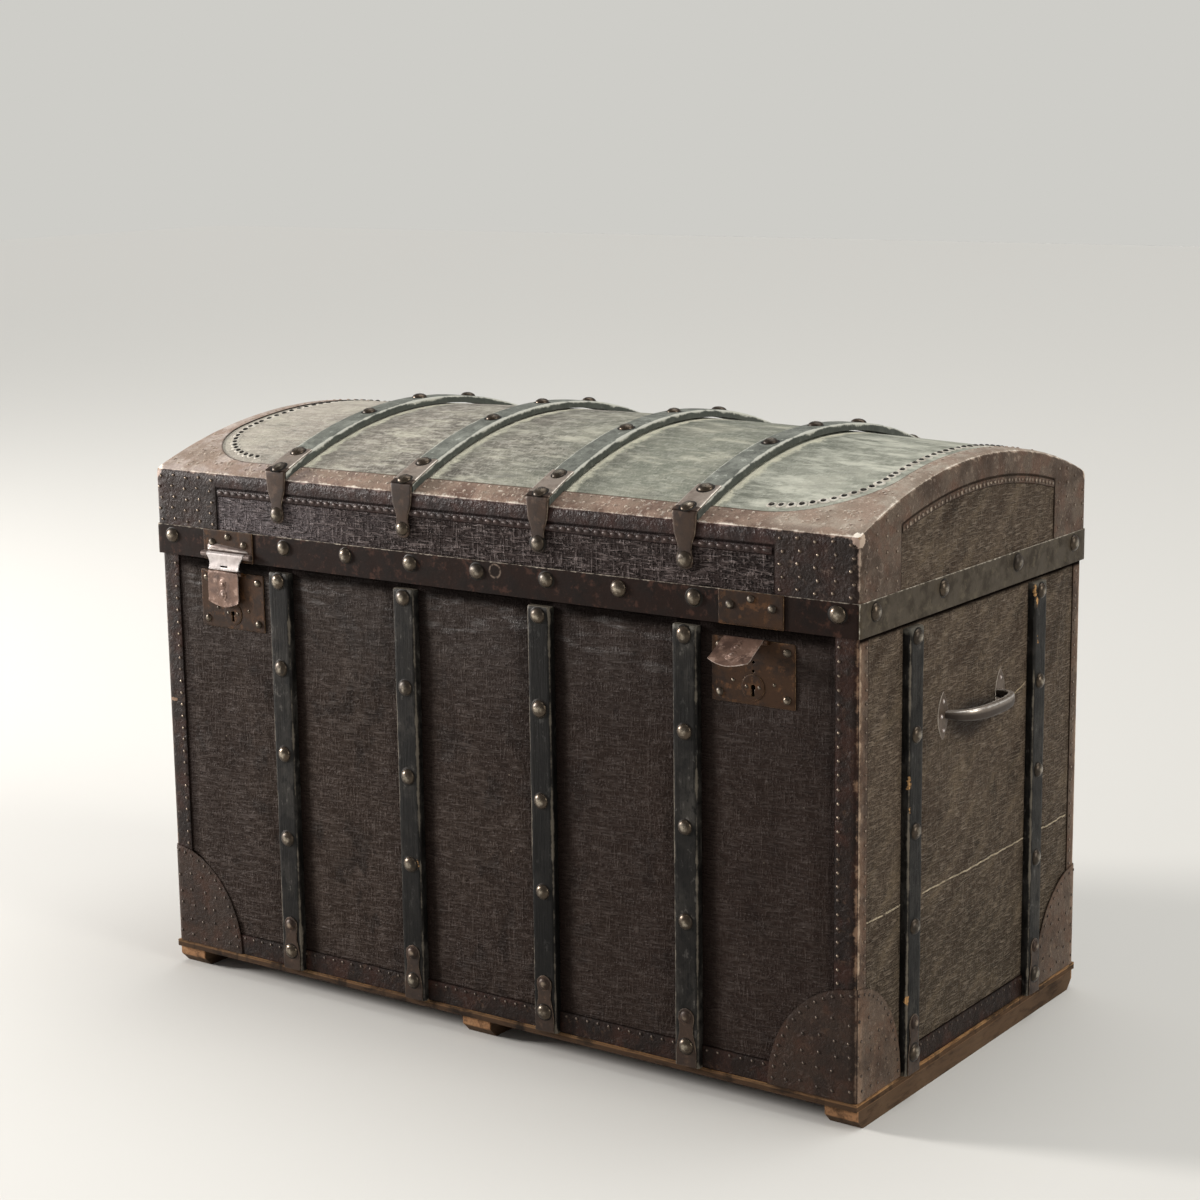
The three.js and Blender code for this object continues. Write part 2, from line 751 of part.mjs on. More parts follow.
function handle() {
  const half = handleGripHeight / 2;
  const web = bowStrip(handleGripThick, -half, half);
  const topFlange = bowStrip(handleFlangeWidth, half - handleGripThick, half);
  const lowFlange = bowStrip(handleFlangeWidth, -half, -half + handleGripThick);
  const plates = [-1, 1].map((way) => {
    const centre = way * (handleHalfSpan + handlePlateInset);
    const oval = sidePlate(pointedOval(centre), 0, handlePlateThick);
    const rivets = [-handleRivetSpacing, 0, handleRivetSpacing].map((up) => {
      const out = up ? centre : centre + way * handleRivetShift;
      return studOnFace("right", out, handlePlateThick, up, handleRivetRadius, handleRivetHeight);
    });
    return union(oval, rivets);
  });
  return union(plates, web, topFlange, lowFlange);
}

const rightHandle = handle().translate([bodyFaceX + seatGap, handleShift, handleHeight]);
place(body, "handle_right", rightHandle, finishes.steel());
place(body, "handle_left", rightHandle.mirror([1, 0, 0]), finishes.steel());

// Lid boards and the bent dome panel on top of them
const lidBoardX = lidFaceX - skinStack;
const lidBoardY = lidFaceY - skinStack;
const underPanel = skinStack + panelThick + seatGap;
const lidEndReach = lidBoardY - boardThick - seatGap;
const lidLengthPlaces = spread(-lidBoardX, lidBoardX, lengthSteps);
const lidDepthPlaces = spread(-lidBoardY, lidBoardY, archSteps);

const roomUnderPanel = loft(
  lidLengthPlaces,
  lidDepthPlaces,
  (x, y) => domeHeight(x, y, underPanel),
  () => lidBottom,
);

function lidBoard(x0, x1, y0, y1) {
  return roomUnderPanel.intersect(box(x0, x1, y0, y1, lidBottom, lidCornerHeight + domeRise + domeCrown));
}

const lidBack = lidBoard(-lidBoardX, lidBoardX, lidBoardY - boardThick, lidBoardY);
const lidFront = lidBoard(-lidBoardX, lidBoardX, -lidBoardY, -lidBoardY + boardThick);
const lidRight = lidBoard(lidBoardX - boardThick, lidBoardX, -lidEndReach, lidEndReach);
const lidLeft = lidBoard(-lidBoardX, -lidBoardX + boardThick, -lidEndReach, lidEndReach);
place(lid, "lid_back_board", lidBack, finishes.board());
place(lid, "lid_front_board", lidFront, finishes.board());
place(lid, "lid_right_board", lidRight, finishes.board());
place(lid, "lid_left_board", lidLeft, finishes.board());
const domePanel = loft(
  lidLengthPlaces,
  lidDepthPlaces,
  (x, y) => domeHeight(x, y, skinStack),
  (x, y) => domeHeight(x, y, skinStack + panelThick),
);
place(lid, "lid_dome_panel", domePanel, finishes.board());

// Canvas over the lid
const lidCanvas = cut(lidBlock(0, lidBottom), lidBlock(canvasThick, lidBottom - overrun));
place(lid, "lid_canvas", lidCanvas, finishes.domeCanvas());

// Leather edging of the lid: corner patches, edge strips and arched end strips in one skin
const bindingStand = seatGap + bindingThick;

function frontWindow() {
  const reach = bandFaceX - lidPatchLength;
  const round = spread(0, Math.PI / 2, roundSteps).map((angle) => [
    reach + lidPatchRound * (1 - Math.sin(angle)),
    bandTop + lidPatchRound * (1 - Math.cos(angle)),
  ]);
  const half = [[reach + lidPatchRound, bandTop - overrun], ...round, [reach, lidCornerHeight - lidEdgeDrop]];
  const mirrored = half.map(([across, up]) => [-across, up]).reverse();
  return frontPlate([...half, ...mirrored], -bandFaceY - overrun, -lidFaceY);
}

function endWindow() {
  const reach = bandFaceY - lidPatchDepth;
  const arch = spread(reach, -reach, archSteps).map((y) => [
    y,
    domeHeight(bandFaceX, y, archBindingWidth),
  ]);
  const outline = [[-reach, bandTop - overrun], [reach, bandTop - overrun], ...arch];
  return sidePlate(outline, lidFaceX, bandFaceX + overrun);
}

function domeWindow() {
  const reachX = bandFaceX - archBindingWidth;
  const reachY = bandFaceY - lidEdgeTop;
  const start = Math.asin((bandFaceX - reachX) / domePatchRadius);
  const end = Math.acos((bandFaceY - reachY) / domePatchRadius);
  const quarter = spread(start, end, roundSteps).map((angle) => [
    bandFaceX - Math.sin(angle) * domePatchRadius,
    bandFaceY - Math.cos(angle) * domePatchRadius,
  ]);
  const back = [...quarter, ...quarter.map(([x, y]) => [-x, y]).reverse()];
  const front = back.map(([x, y]) => [x, -y]).reverse();
  return flatPlate([...back, ...front], bandTop, lidCornerHeight + domeRise + domeCrown + overrun);
}

const edgeShell = cut(lidBlock(-bindingStand, bandTop + seatGap), lidBlock(-seatGap, lidBottom));
const openFront = frontWindow();
const openEnd = endWindow();
const edgeBinding = cut(
  edgeShell,
  openFront,
  openFront.mirror([0, 1, 0]),
  openEnd,
  openEnd.mirror([1, 0, 0]),
  domeWindow(),
);
place(lid, "lid_edge_binding", edgeBinding, finishes.leather());

// The studded band round the foot of the lid: it hangs over the case except at the back
function lidBand() {
  const backTrim = box(
    -bandFaceX - overrun,
    bandFaceX + overrun,
    bandFaceY - bandThick - seatGap,
    bandFaceY + overrun,
    bandBottom - overrun,
    lidBottom,
  );
  const studHeightOnBand = bandBottom + bandStudRise;
  const inner = bandStudPlaces.map((place) => bandStudShift + place * bandStudSpacing);
  const outer = bandFaceX - bandStudInset;
  const endOuter = bandFaceY - bandEndStudInset;
  const plateReach = haspPlateWidth / 2 + studRadius;
  const hingeReach = hingeLength / 2 + studRadius;
  const studs = [];
  for (const across of [-outer, ...inner, outer]) {
    const underPlate = lockCentres.some((centre) => Math.abs(across - centre) < plateReach);
    if (!underPlate) studs.push(studOnFace("front", across, bandFaceY, studHeightOnBand));
    const underHinge = hingeCentres.some((centre) => Math.abs(across - centre) < hingeReach);
    if (!underHinge) studs.push(studOnFace("back", -across, bandFaceY, studHeightOnBand));
  }
  for (const across of [-endOuter, -bandEndStudSpread, bandEndStudSpread, endOuter]) {
    for (const side of sides) studs.push(studOnFace(side, across, bandFaceX, studHeightOnBand));
  }
  return union(cut(ring(bandFaceX, bandFaceY, bandThick, bandBottom, bandTop), backTrim), studs);
}

const hingeLength = hingeMiddleKnuckle + 2 * hingeKnuckle + 2 * seatGap;
place(lid, "lid_band", lidBand(), finishes.band());

// Slats over the dome, each with its two clamps bent down over the edges of the lid
const slatSeat = -(bindingStand + seatGap);
const slatCrest = slatSeat - domeSlatThick;
const clampCrest = slatCrest - clampTopThick;
const clampLegBack = bandFaceY + seatGap;
const clampLegFace = clampLegBack + clampLegThick;

function domeSlat(centre) {
  const across = [centre - slatWidth / 2, centre + slatWidth / 2];
  const bar = loft(
    across,
    spread(-clampLegFace, clampLegFace, archSteps),
    (x, y) => domeHeight(x, y, slatCrest),
    (x, y) => domeHeight(x, y, slatSeat),
  );
  const legTop = domeHeight(centre, clampLegFace, slatCrest);
  const bossHeight = lidCornerHeight - clampBossDrop;
  const half = clampLegWidth / 2;
  const neck = clampNeckWidth / 2;
  const legOutline = [
    [centre - half, legTop],
    [centre - half, lidCornerHeight - clampShoulderDrop],
    [centre - neck, lidCornerHeight - clampNeckDrop],
    [centre - neck, bossHeight],
    [centre + neck, bossHeight],
    [centre + neck, lidCornerHeight - clampNeckDrop],
    [centre + half, lidCornerHeight - clampShoulderDrop],
    [centre + half, legTop],
  ];
  const boss = rodY(centre, -clampLegFace, -clampLegBack, bossHeight, clampBossRadius, rodSides);
  const bossStud = studOnFace("front", centre, clampLegFace, bossHeight);
  const topPlate = loft(
    [centre - clampLegWidth / 2, centre + clampLegWidth / 2],
    spread(-clampLegFace, -clampLegFace + clampTopLength, Math.ceil(roundSteps / 2)),
    (x, y) => domeHeight(x, y, clampCrest),
    (x, y) => domeHeight(x, y, slatCrest + embed),
  );
  const clamp = union(frontPlate(legOutline, -clampLegFace, -clampLegBack), boss, bossStud, topPlate);
  const outer = bandFaceY - clampStudInset;
  const studs = [
    studOnDome(centre, -outer, clampCrest),
    studOnDome(centre, clampStudSpacing - outer, clampCrest),
    studOnDome(centre, -domeStudSpread, slatCrest),
  ];
  const fittings = union(clamp, studs);
  return union(bar, fittings, fittings.mirror([0, 1, 0]), studOnDome(centre, 0, slatCrest));
}

function studOnDome(x, y, inset) {
  const tilt = Math.asin(y / (domeRadius - inset));
  const geometry = studGeometry(studRadius, studHeight).rotateX(-Math.PI / 2 - tilt);
  return solid(geometry.translate(x, y, domeHeight(x, y, inset)));
}

slatCentres.forEach((centre, i) => {
  place(lid, "dome_slat_" + (i + 1), domeSlat(centre), finishes.slat());
});

// Hasp plates on the band, and the hasp that is left on the left hand one
const haspPlateFace = bandFaceY + seatGap + haspPlateThick;
const haspAxisHeight = bandBottom + haspAxisRise;
const haspAxisY = -(haspPlateFace + haspBarrelRadius + seatGap);
const haspHalf = haspPlateWidth / 2;
const haspBarrelHalf = haspHalf - haspKnuckle - seatGap;

function haspPlate(centre) {
  const back = -bandFaceY - seatGap;
  const face = box(centre - haspHalf, centre + haspHalf, -haspPlateFace, back, bandBottom, bandTop);
  const studs = [
    [-haspStudSpread, haspStudDrop],
    [0, haspTopStudDrop],
    [haspStudSpread, haspStudDrop],
  ].map(([across, drop]) =>
    studOnFace("front", centre + across, haspPlateFace, bandTop - drop, haspStudRadius, smallStudHeight),
  );
  return union(face, studs);
}

function haspKnuckles(centre) {
  const low = haspAxisHeight - haspBarrelRadius;
  const high = haspAxisHeight + haspBarrelRadius;
  const ends = [-haspHalf, haspHalf - haspKnuckle].map((place) => {
    const start = centre + place;
    const end = start + haspKnuckle;
    const round = rodX(start, end, haspAxisY, haspAxisHeight, haspBarrelRadius);
    return union(round, box(start, end, haspAxisY, embed - haspPlateFace, low, high));
  });
  const reach = haspBarrelHalf + seatGap + embed;
  const pin = rodX(centre - reach, centre + reach, haspAxisY, haspAxisHeight, haspPinRadius);
  return union(ends, pin);
}

function hasp(centre) {
  const hole = rodX(
    centre - haspHalf,
    centre + haspHalf,
    haspAxisY,
    haspAxisHeight,
    haspPinRadius + haspPinClearance,
  );
  const barrel = rodX(
    centre - haspBarrelHalf,
    centre + haspBarrelHalf,
    haspAxisY,
    haspAxisHeight,
    haspBarrelRadius,
  );
  const outline = [
    [centre - haspTopWidth / 2, haspAxisHeight],
    [centre - haspLipWidth / 2, haspAxisHeight - haspDrop],
    [centre + haspLipWidth / 2, haspAxisHeight - haspDrop],
    [centre + haspTopWidth / 2, haspAxisHeight],
  ];
  const front = haspAxisY - haspBarrelRadius;
  const sheet = frontPlate(outline, front, front + haspThick);
  const lip = box(
    centre - haspLipWidth / 2,
    centre + haspLipWidth / 2,
    front - haspLipReach,
    front + haspThick,
    haspAxisHeight - haspDrop,
    haspAxisHeight - haspDrop + haspThick,
  );
  const slotTop = haspAxisHeight - haspDrop / 2;
  const slot = box(
    centre - haspSlotWidth / 2,
    centre + haspSlotWidth / 2,
    front - overrun,
    front + overrun,
    slotTop - haspSlotHeight,
    slotTop,
  );
  return cut(union(barrel, sheet, lip), hole, slot);
}

const leftHaspPlate = union(haspPlate(lockCentres[0]), haspKnuckles(lockCentres[0]));
place(lid, "hasp_plate_left", leftHaspPlate, finishes.brass());
place(lid, "hasp_plate_right", haspPlate(lockCentres[1]), finishes.brass());
place(lid, "hasp_left", hasp(lockCentres[0]), finishes.steel());

// Hinges at the back: the lower leaf carries the outer knuckles and the pin
const hingeAxisY = bandFaceY + hingeBarrelRadius + seatGap;
const hingeHalf = hingeLength / 2;
const middleHalf = hingeMiddleKnuckle / 2;

function knuckle(x0, x1) {
  return rodX(x0, x1, hingeAxisY, partingHeight, hingeBarrelRadius);
}

function hingeBore(centre) {
  const radius = hingePinRadius + hingePinClearance;
  return rodX(centre - hingeLength, centre + hingeLength, hingeAxisY, partingHeight, radius);
}

function lowerLeaf(centre) {
  const back = bodyFaceY + seatGap;
  const leaf = box(
    centre - hingeHalf,
    centre + hingeHalf,
    back,
    back + hingeLeafThick,
    partingHeight - hingeLeafDrop,
    partingHeight - hingeBarrelRadius - seatGap,
  );
  const knuckles = [
    [-hingeHalf, -hingeHalf + hingeKnuckle],
    [hingeHalf - hingeKnuckle, hingeHalf],
  ].map(([from, to]) => {
    const webLow = partingHeight - hingeWebDepth;
    const web = box(centre + from, centre + to, back, hingeAxisY, webLow, partingHeight);
    return union(knuckle(centre + from, centre + to), web);
  });
  return cut(union(leaf, knuckles), hingeBore(centre));
}

function upperLeaf(centre) {
  const front = bandFaceY + seatGap;
  const leaf = box(
    centre - hingeHalf,
    centre + hingeHalf,
    front,
    front + hingeLeafThick,
    partingHeight + hingeBarrelRadius + seatGap,
    partingHeight + hingeLeafRise,
  );
  const web = box(
    centre - middleHalf,
    centre + middleHalf,
    front,
    front + hingeLeafThick,
    partingHeight,
    partingHeight + hingeLeafRise,
  );
  return cut(union(leaf, web, knuckle(centre - middleHalf, centre + middleHalf)), hingeBore(centre));
}

hingeCentres.forEach((centre, i) => {
  const pinHalf = hingeHalf + hingePinOverhang;
  const pin = rodX(centre - pinHalf, centre + pinHalf, hingeAxisY, partingHeight, hingePinRadius);
  place(body, "hinge_lower_" + sides[i], lowerLeaf(centre), finishes.steel());
  place(body, "hinge_pin_" + sides[i], pin, finishes.steel());
  place(lid, "hinge_upper_" + sides[i], upperLeaf(centre), finishes.steel());
});

export default trunk;
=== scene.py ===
"""Looks of the dome top trunk: canvas, leather, slats, studded band, locks and handles."""
import math
import random

import bmesh
import bpy
from mathutils import Matrix, Vector, noise
from mathutils.geometry import tessellate_polygon


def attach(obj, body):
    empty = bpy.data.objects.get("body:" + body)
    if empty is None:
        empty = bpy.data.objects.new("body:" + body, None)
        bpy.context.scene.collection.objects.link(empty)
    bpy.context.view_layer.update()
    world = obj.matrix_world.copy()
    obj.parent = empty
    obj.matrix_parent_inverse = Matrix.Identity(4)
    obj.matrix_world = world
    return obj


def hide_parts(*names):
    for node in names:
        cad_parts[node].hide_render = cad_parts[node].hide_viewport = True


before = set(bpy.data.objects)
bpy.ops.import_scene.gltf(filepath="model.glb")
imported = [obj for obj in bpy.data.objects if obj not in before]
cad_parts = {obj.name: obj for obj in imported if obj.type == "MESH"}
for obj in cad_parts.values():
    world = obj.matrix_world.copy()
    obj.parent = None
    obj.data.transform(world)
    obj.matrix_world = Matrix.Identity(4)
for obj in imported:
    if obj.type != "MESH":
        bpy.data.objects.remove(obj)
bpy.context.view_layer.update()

MM = 0.001
SIDES = ("front", "back", "left", "right")

# Main sizes of the trunk, in millimetres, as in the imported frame
CASE_X, CASE_Y = 455.5, 246.5  # canvas faces of the case, from the middle
LID_X, LID_Y = 458.5, 249.5  # canvas faces of the lid
CASE_FOOT = 29.1
CAP_TALL = 117.0
BOTTOM_TOP, BOTTOM_ROW = 53.1, 48.5  # upper edge of the bottom binding, and its row of tacks
ABOVE_BOTTOM = 53.4  # where the corner bindings start, above the bottom binding
PARTING = 504.0
LID_FOOT = 504.3
LID_EDGE = 592.0
BAND_LOW, BAND_HIGH = 494.4, 528.4
ABOVE_BAND = 528.7
BAND_X, BAND_Y = 460.0, 251.0
STUD_LEVEL = 516.4  # the row of large nails on the band
DOME_RISE, DOME_CROWN = 47.4, 13.0
PATCH_X, PATCH_Y = 365.0, 170.0  # where the lid's corner patches start
WELT_FRONT, WELT_END = 570.9, 562.0  # middle of the beaded welt
BINDING = 1.2  # thickness of leather and fibre
LAID_ON = 1.5  # outer face of a binding that lies on the canvas
TACK_FOOT = 1.4  # where the tacks stand in a binding
ROUND_X, ROUND_Y, ROUND = 335.0, 124.0, 100.0  # middle and radius of the inner corners of the dome's leather
ON_CASE_X, ON_CASE_Y = 455.8, 246.8  # where slats and handles lie on the case
SLATS = (-272.5, -93.5, 85.5, 264.5)
END_SLATS = (-144.0, 133.0)
SLAT_TOP = 488.4
SLAT_NAILS = (478.9, 380.4, 281.9, 183.4)  # heights of the large nails on a slat
CLIP_NAIL, CLIP_KNOB = 51.1, 82.5  # heights of the nail and the knob on its foot clip
SLAT_WIDTH, SLAT_THICK, DOME_SLAT_THICK = 29.0, 8.5, 8.0
DOME_SLAT_END = 250.6
LOCKS = (-348.5, 340.5)
LOCK_BACK, LOCK_LOW, LOCK_HIGH, LOCK_HALF = -248.3, 416, 481, 47.5  # the plates of the locks
KEYHOLE = 433.5
LATCHES = (-357.5, 331.5)
LATCH_AXIS, LATCH_ROLL, LATCH_HALF = (-251.2, 480.0), 2.6, 22.7
HASP_PLATE_BACK, HASP_PLATE_HALF = -252.8, 37
HASP_AXIS, HASP_ROLL, HASP_HALF = (-256.3, 501.4), 3.2, 27.4
HINGES = (-183.0, 175.0)


# Shape of the lid and the case
def held(value, low=0.0, high=1.0):
    """The value, kept between low and high."""
    return max(low, min(high, value))


def is_long(face):
    """Whether a face is one of the two long sides."""
    return face in ("front", "back")


def arch(x, y):
    """How far the dome stands above the front and back edges of the lid."""
    radius = (LID_Y ** 2 + DOME_RISE ** 2) / (2 * DOME_RISE)
    y = held(y, -LID_Y, LID_Y)
    bow = math.sqrt(radius ** 2 - y ** 2) - radius + DOME_RISE
    swell = DOME_CROWN * (1 - (x / BAND_X) ** 2) * (1 - (y / LID_Y) ** 2)
    return bow + max(0.0, swell)


class Shell:
    """A box with rounded corners; the lid's top follows the dome."""

    def __init__(self, half_x, half_y, top, corner, domed=False):
        self.half_x, self.half_y, self.top = half_x, half_y, top
        self.corner, self.domed = corner, domed

    def at(self, place, out):
        """The point that lies out from the place on the sharp box, with the corners rounded."""
        core_x, core_y = self.half_x - self.corner, self.half_y - self.corner
        core_z = self.top - self.corner if self.domed else math.inf
        x, y, z = place
        core = Vector((held(x, -core_x, core_x), held(y, -core_y, core_y), min(core_z, z)))
        away = Vector(place) - core
        spot = core + away.normalized() * (self.corner + out)
        if self.domed:
            spot.z += arch(spot.x, spot.y) * held((spot.z - 530) / 25)
        return spot

    def place(self, face, a, b):
        """The place on the sharp box of a face's own across and up."""
        return {
            "front": (a, -self.half_y, b),
            "back": (a, self.half_y, b),
            "left": (-self.half_x, a, b),
            "right": (self.half_x, a, b),
            "top": (a, b, self.top),
        }[face]


CASE = Shell(CASE_X, CASE_Y, PARTING, 4.0)
LID = Shell(LID_X, LID_Y, LID_EDGE, 6.0, domed=True)
BAND_SHELL = Shell(BAND_X, BAND_Y, BAND_HIGH, 3.0)


def lines(low, high, step, *fixed):
    """Places from low to high about step apart that pass through the fixed ones."""
    stops = sorted({low, high, *(f for f in fixed if low < f < high)})
    found = []
    for start, end in zip(stops, stops[1:]):
        count = max(1, round((end - start) / step))
        found += [start + (end - start) * i / count for i in range(count)]
    return found + [high]


def put(name, data):
    """A new object in the scene."""
    thing = bpy.data.objects.new(name, data)
    bpy.context.scene.collection.objects.link(thing)
    return thing


def add_node(tree, kind, inputs=(), **settings):
    """A node with its settings made and its inputs filled in or linked."""
    node = tree.nodes.new(kind)
    for key, value in settings.items():
        setattr(node, key, value)
    for key, value in dict(inputs).items():
        if isinstance(value, bpy.types.NodeSocket):
            tree.links.new(value, node.inputs[key])
        else:
            node.inputs[key].default_value = value
    return node


def new_piece(name, verts, faces, wear_and_shading, smooth_angle=40):
    """A mesh object from points in millimetres, with a value at each point for how rubbed it is, where dirt
    lies and where light or shade is painted.
    """
    mesh = bpy.data.meshes.new(name)
    mesh.from_pydata([Vector(v) * MM for v in verts], [], faces)
    mesh.update()
    layer = mesh.attributes.new("wear_and_shading", "FLOAT", "POINT")
    layer.data.foreach_set("value", wear_and_shading)
    mesh.shade_smooth()
    mesh.set_sharp_from_angle(angle=math.radians(smooth_angle))
    return put(name, mesh)


def coat(piece, *materials):
    """Gives a piece its materials, in the order of its face numbers."""
    for material in materials:
        piece.data.materials.append(material)
    return piece


def number_ends(piece, limit, number=1):
    """Numbers the faces that lie further out along X than limit, for a finish of their own: a lighter
    copy, partly painted light on the ends.
    """
    for polygon in piece.data.polygons:
        if not polygon.material_index and abs(polygon.center.x) / MM > limit:
            polygon.material_index = number
    return piece


def finish(piece, body, replaces=()):
    """Ties a piece to its body and hides the solids that it stands for."""
    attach(piece, body)
    if replaces:
        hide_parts(*replaces)


def whole(face, a, b):
    """The rule of a sheet that covers its faces all over."""
    return 99.0


def skin(name, shell, faces, foot, rule, out, thick, step, ridge=5.0, bulge=None, edge_dirt_and_shade=0.8):
    """Sheet laid on a shell, from foot up. The rule gives how far inside its cut edge a place
    lies; the cut edges get a wall of the sheet's thickness and are marked for dirt and painted
    shade, and the box corners are marked rubbed."""
    verts, wear_and_shading, quads, spots, slots = [], [], [], [], []
    index = {}

    def vertex(face, a, b, inside):
        place = shell.place(face, a, b)
        key = tuple(round(v, 2) for v in place)
        if key not in index:
            index[key] = len(verts)
            swell = bulge(face, a, b) if bulge else 0.0
            rim = max(0.0, 1 - inside / 2.5)
            dip = 0.35 * thick * max(0.0, 1 - inside / 0.8)
            verts.append(shell.at(place, out - dip + swell))
            edges = [shell.half_x - abs(place[0]), shell.half_y - abs(place[1])]
            if shell.domed:
                edges.append(shell.top - place[2])
            near = max(0.0, 1 - sorted(edges)[1] / ridge)
            # cut edges are marked for dirt and painted shade
            wear_and_shading.append(near if near > 0.3 else -edge_dirt_and_shade * rim)
            spots.append(place)
        return index[key]

    def bends(half):
        """Places where the rounding of the corners starts and where it is half way."""
        return [s * (half - d) for s in (-1, 1) for d in (shell.corner, shell.corner / 2)]

    for face in faces:
        a_max = shell.half_x if face in ("front", "back", "top") else shell.half_y
        b_min, b_max = (-shell.half_y, shell.half_y) if face == "top" else (foot, shell.top)
        a_lines = lines(-a_max, a_max, step, *bends(a_max))
        b_lines = lines(b_min, b_max, step, *(bends(b_max) if shell.domed else ()))
        grid = {}
        for i, a in enumerate(a_lines):
            for j, b in enumerate(b_lines):
                inside = rule(face, a, b)
                if inside < -0.55 * step:
                    continue
                if inside < 0.45 * step:  # drawn onto the cut edge
                    slope_a = rule(face, a + 0.1, b) - rule(face, a - 0.1, b)
                    slope_b = rule(face, a, b + 0.1) - rule(face, a, b - 0.1)
                    steep = math.hypot(slope_a, slope_b) or 1.0
                    a_in = held(a - inside * slope_a / steep, -a_max, a_max)
                    b_in = held(b - inside * slope_b / steep, b_min, b_max)
                    grid[i, j] = vertex(face, a_in, b_in, 0.0)
                else:
                    grid[i, j] = vertex(face, a, b, inside)
        turn = -1 if face in ("back", "left") else 1
        for i in range(len(a_lines) - 1):
            for j in range(len(b_lines) - 1):
                ring = [grid.get(c) for c in ((i, j), (i + 1, j), (i + 1, j + 1), (i, j + 1))]
                loop = [v for k, v in enumerate(ring) if v is not None and v not in ring[:k]]
                if len(loop) > 2:
                    quads.append(tuple(loop[::turn]))
                    slots.append(int(face == "top"))
    sides = dict.fromkeys(pair for quad in quads for pair in zip(quad, quad[1:] + quad[:1]))
    rims = [pair for pair in sides if pair[::-1] not in sides]
    inner = {}
    for v in (v for pair in rims for v in pair):
        if v not in inner:
            inner[v] = len(verts)
            verts.append(shell.at(spots[v], out - thick))
            wear_and_shading.append(-edge_dirt_and_shade)
    quads += [(b, a, inner[a], inner[b]) for a, b in rims]
    piece = new_piece(name, verts, quads, wear_and_shading)
    piece.data.polygons.foreach_set("material_index", slots + [0] * len(rims))
    return piece


def outward_faces(piece):
    """Drops the unused points of a closed mesh and turns its faces outwards."""
    shape = bmesh.new()
    shape.from_mesh(piece.data)
    loose = [v for v in shape.verts if not v.link_faces]
    bmesh.ops.delete(shape, geom=loose, context="VERTS")
    bmesh.ops.recalc_face_normals(shape, faces=shape.faces)
    shape.to_mesh(piece.data)
    shape.free()
    return piece


def wall(start, end, count):
    """Faces over the points from start to end, which lie in rings of count."""
    return [(ring + j, ring + (j + 1) % count, ring + count + (j + 1) % count, ring + count + j)
            for ring in range(start, end - count, count) for j in range(count)]


def closed_bar(name, verts, wear_and_shading, count, smooth_angle=40):
    """A bar whose points lie in rings of count, with both ends closed."""
    end = len(verts)
    faces = wall(0, end, count) + [tuple(reversed(range(count))), tuple(range(end - count, end))]
    return outward_faces(new_piece(name, verts, faces, wear_and_shading, smooth_angle))


def sweep(name, stations, profile, smooth_angle):
    """A bar along stations of (centre, across, outward, width share, thickness share).
    The profile lists (across, outward, wear) in millimetres round the section."""
    verts = [Vector(centre) + Vector(across) * a * wide + Vector(outward) * n * deep
             for centre, across, outward, wide, deep in stations for a, n, _ in profile]
    wear_and_shading = [wear_and_shading_value for _, _, wear_and_shading_value in profile] * len(stations)
    return closed_bar(name, verts, wear_and_shading, len(profile), smooth_angle)


def plate(name, outline, spot, thick, edge=0.5, holes=()):
    """A flat plate with a rounded, worn edge and holes through it. spot(a, b, h) places it."""
    verts, wear_and_shading, faces = [], [], []
    fronts, backs = [], []
    for number, ring in enumerate((outline, *holes)):
        count = len(ring)
        area = sum(ring[i - 1][0] * ring[i][1] - ring[i][0] * ring[i - 1][1] for i in range(count))
        side = (1 if area > 0 else -1) * (-1 if number else 1)
        turns = []
        for i in range(count):
            before, here, after = (Vector(ring[(i + k) % count]) for k in (-1, 0, 1))
            first, second = (here - before).normalized(), (after - here).normalized()
            turns.append((Vector((-first.y - second.y, first.x + second.x)) * side).normalized())
        start = len(verts)
        steps = [(0, 0, 0.2), (0, thick - edge, 1.0), (0.3 * edge, thick - 0.3 * edge, 1.0),
                 (edge, thick, 0.6)]  # inset, height, wear
        if not number:
            steps.append((edge + 1.2, thick, 0.0))
        for inset, height, wear_and_shading_value in steps:
            for point, turn in zip(ring, turns):
                verts.append(spot(*(Vector(point) + turn * inset), height))
                wear_and_shading.append(wear_and_shading_value)
        faces += wall(start, len(verts), count)
        last = len(verts) - count
        fronts.append([(*(Vector(p) + t * inset), last + i) for i, (p, t) in enumerate(zip(ring, turns))])
        backs.append([(*p, start + i) for i, p in enumerate(ring)])
    for rings in (fronts, backs):
        flat = [vertex for ring in rings for _, _, vertex in ring]
        for corners in tessellate_polygon([[Vector((x, y, 0)) for x, y, _ in ring] for ring in rings]):
            faces.append(tuple(flat[c] for c in corners))
    return outward_faces(new_piece(name, verts, faces, wear_and_shading, 35))


def joined(name, pieces):
    """Several meshes made one."""
    bpy.ops.object.select_all(action="DESELECT")
    for piece in pieces:
        piece.select_set(True)
    bpy.context.view_layer.objects.active = pieces[0]
    bpy.ops.object.join()
    pieces[0].name = pieces[0].data.name = name
    return pieces[0]


def ellipse(centre_a, centre_b, radius_a, radius_b, count=28):
    """Outline of an ellipse."""
    steps = [2 * math.pi * i / count for i in range(count)]
    return [(centre_a + radius_a * math.cos(t), centre_b + radius_b * math.sin(t)) for t in steps]


def rounded_box(a0, a1, b0, b1, corner, count):
    """Outline of a rectangle with round corners."""
    found = []
    for ca, cb, start in ((a1 - corner, b1 - corner, 0), (a0 + corner, b1 - corner, 90),
                          (a0 + corner, b0 + corner, 180), (a1 - corner, b0 + corner, 270)):
        for i in range(count + 1):
            angle = math.radians(start + 90 * i / count)
            found.append((ca + corner * math.cos(angle), cb + corner * math.sin(angle)))
    return found


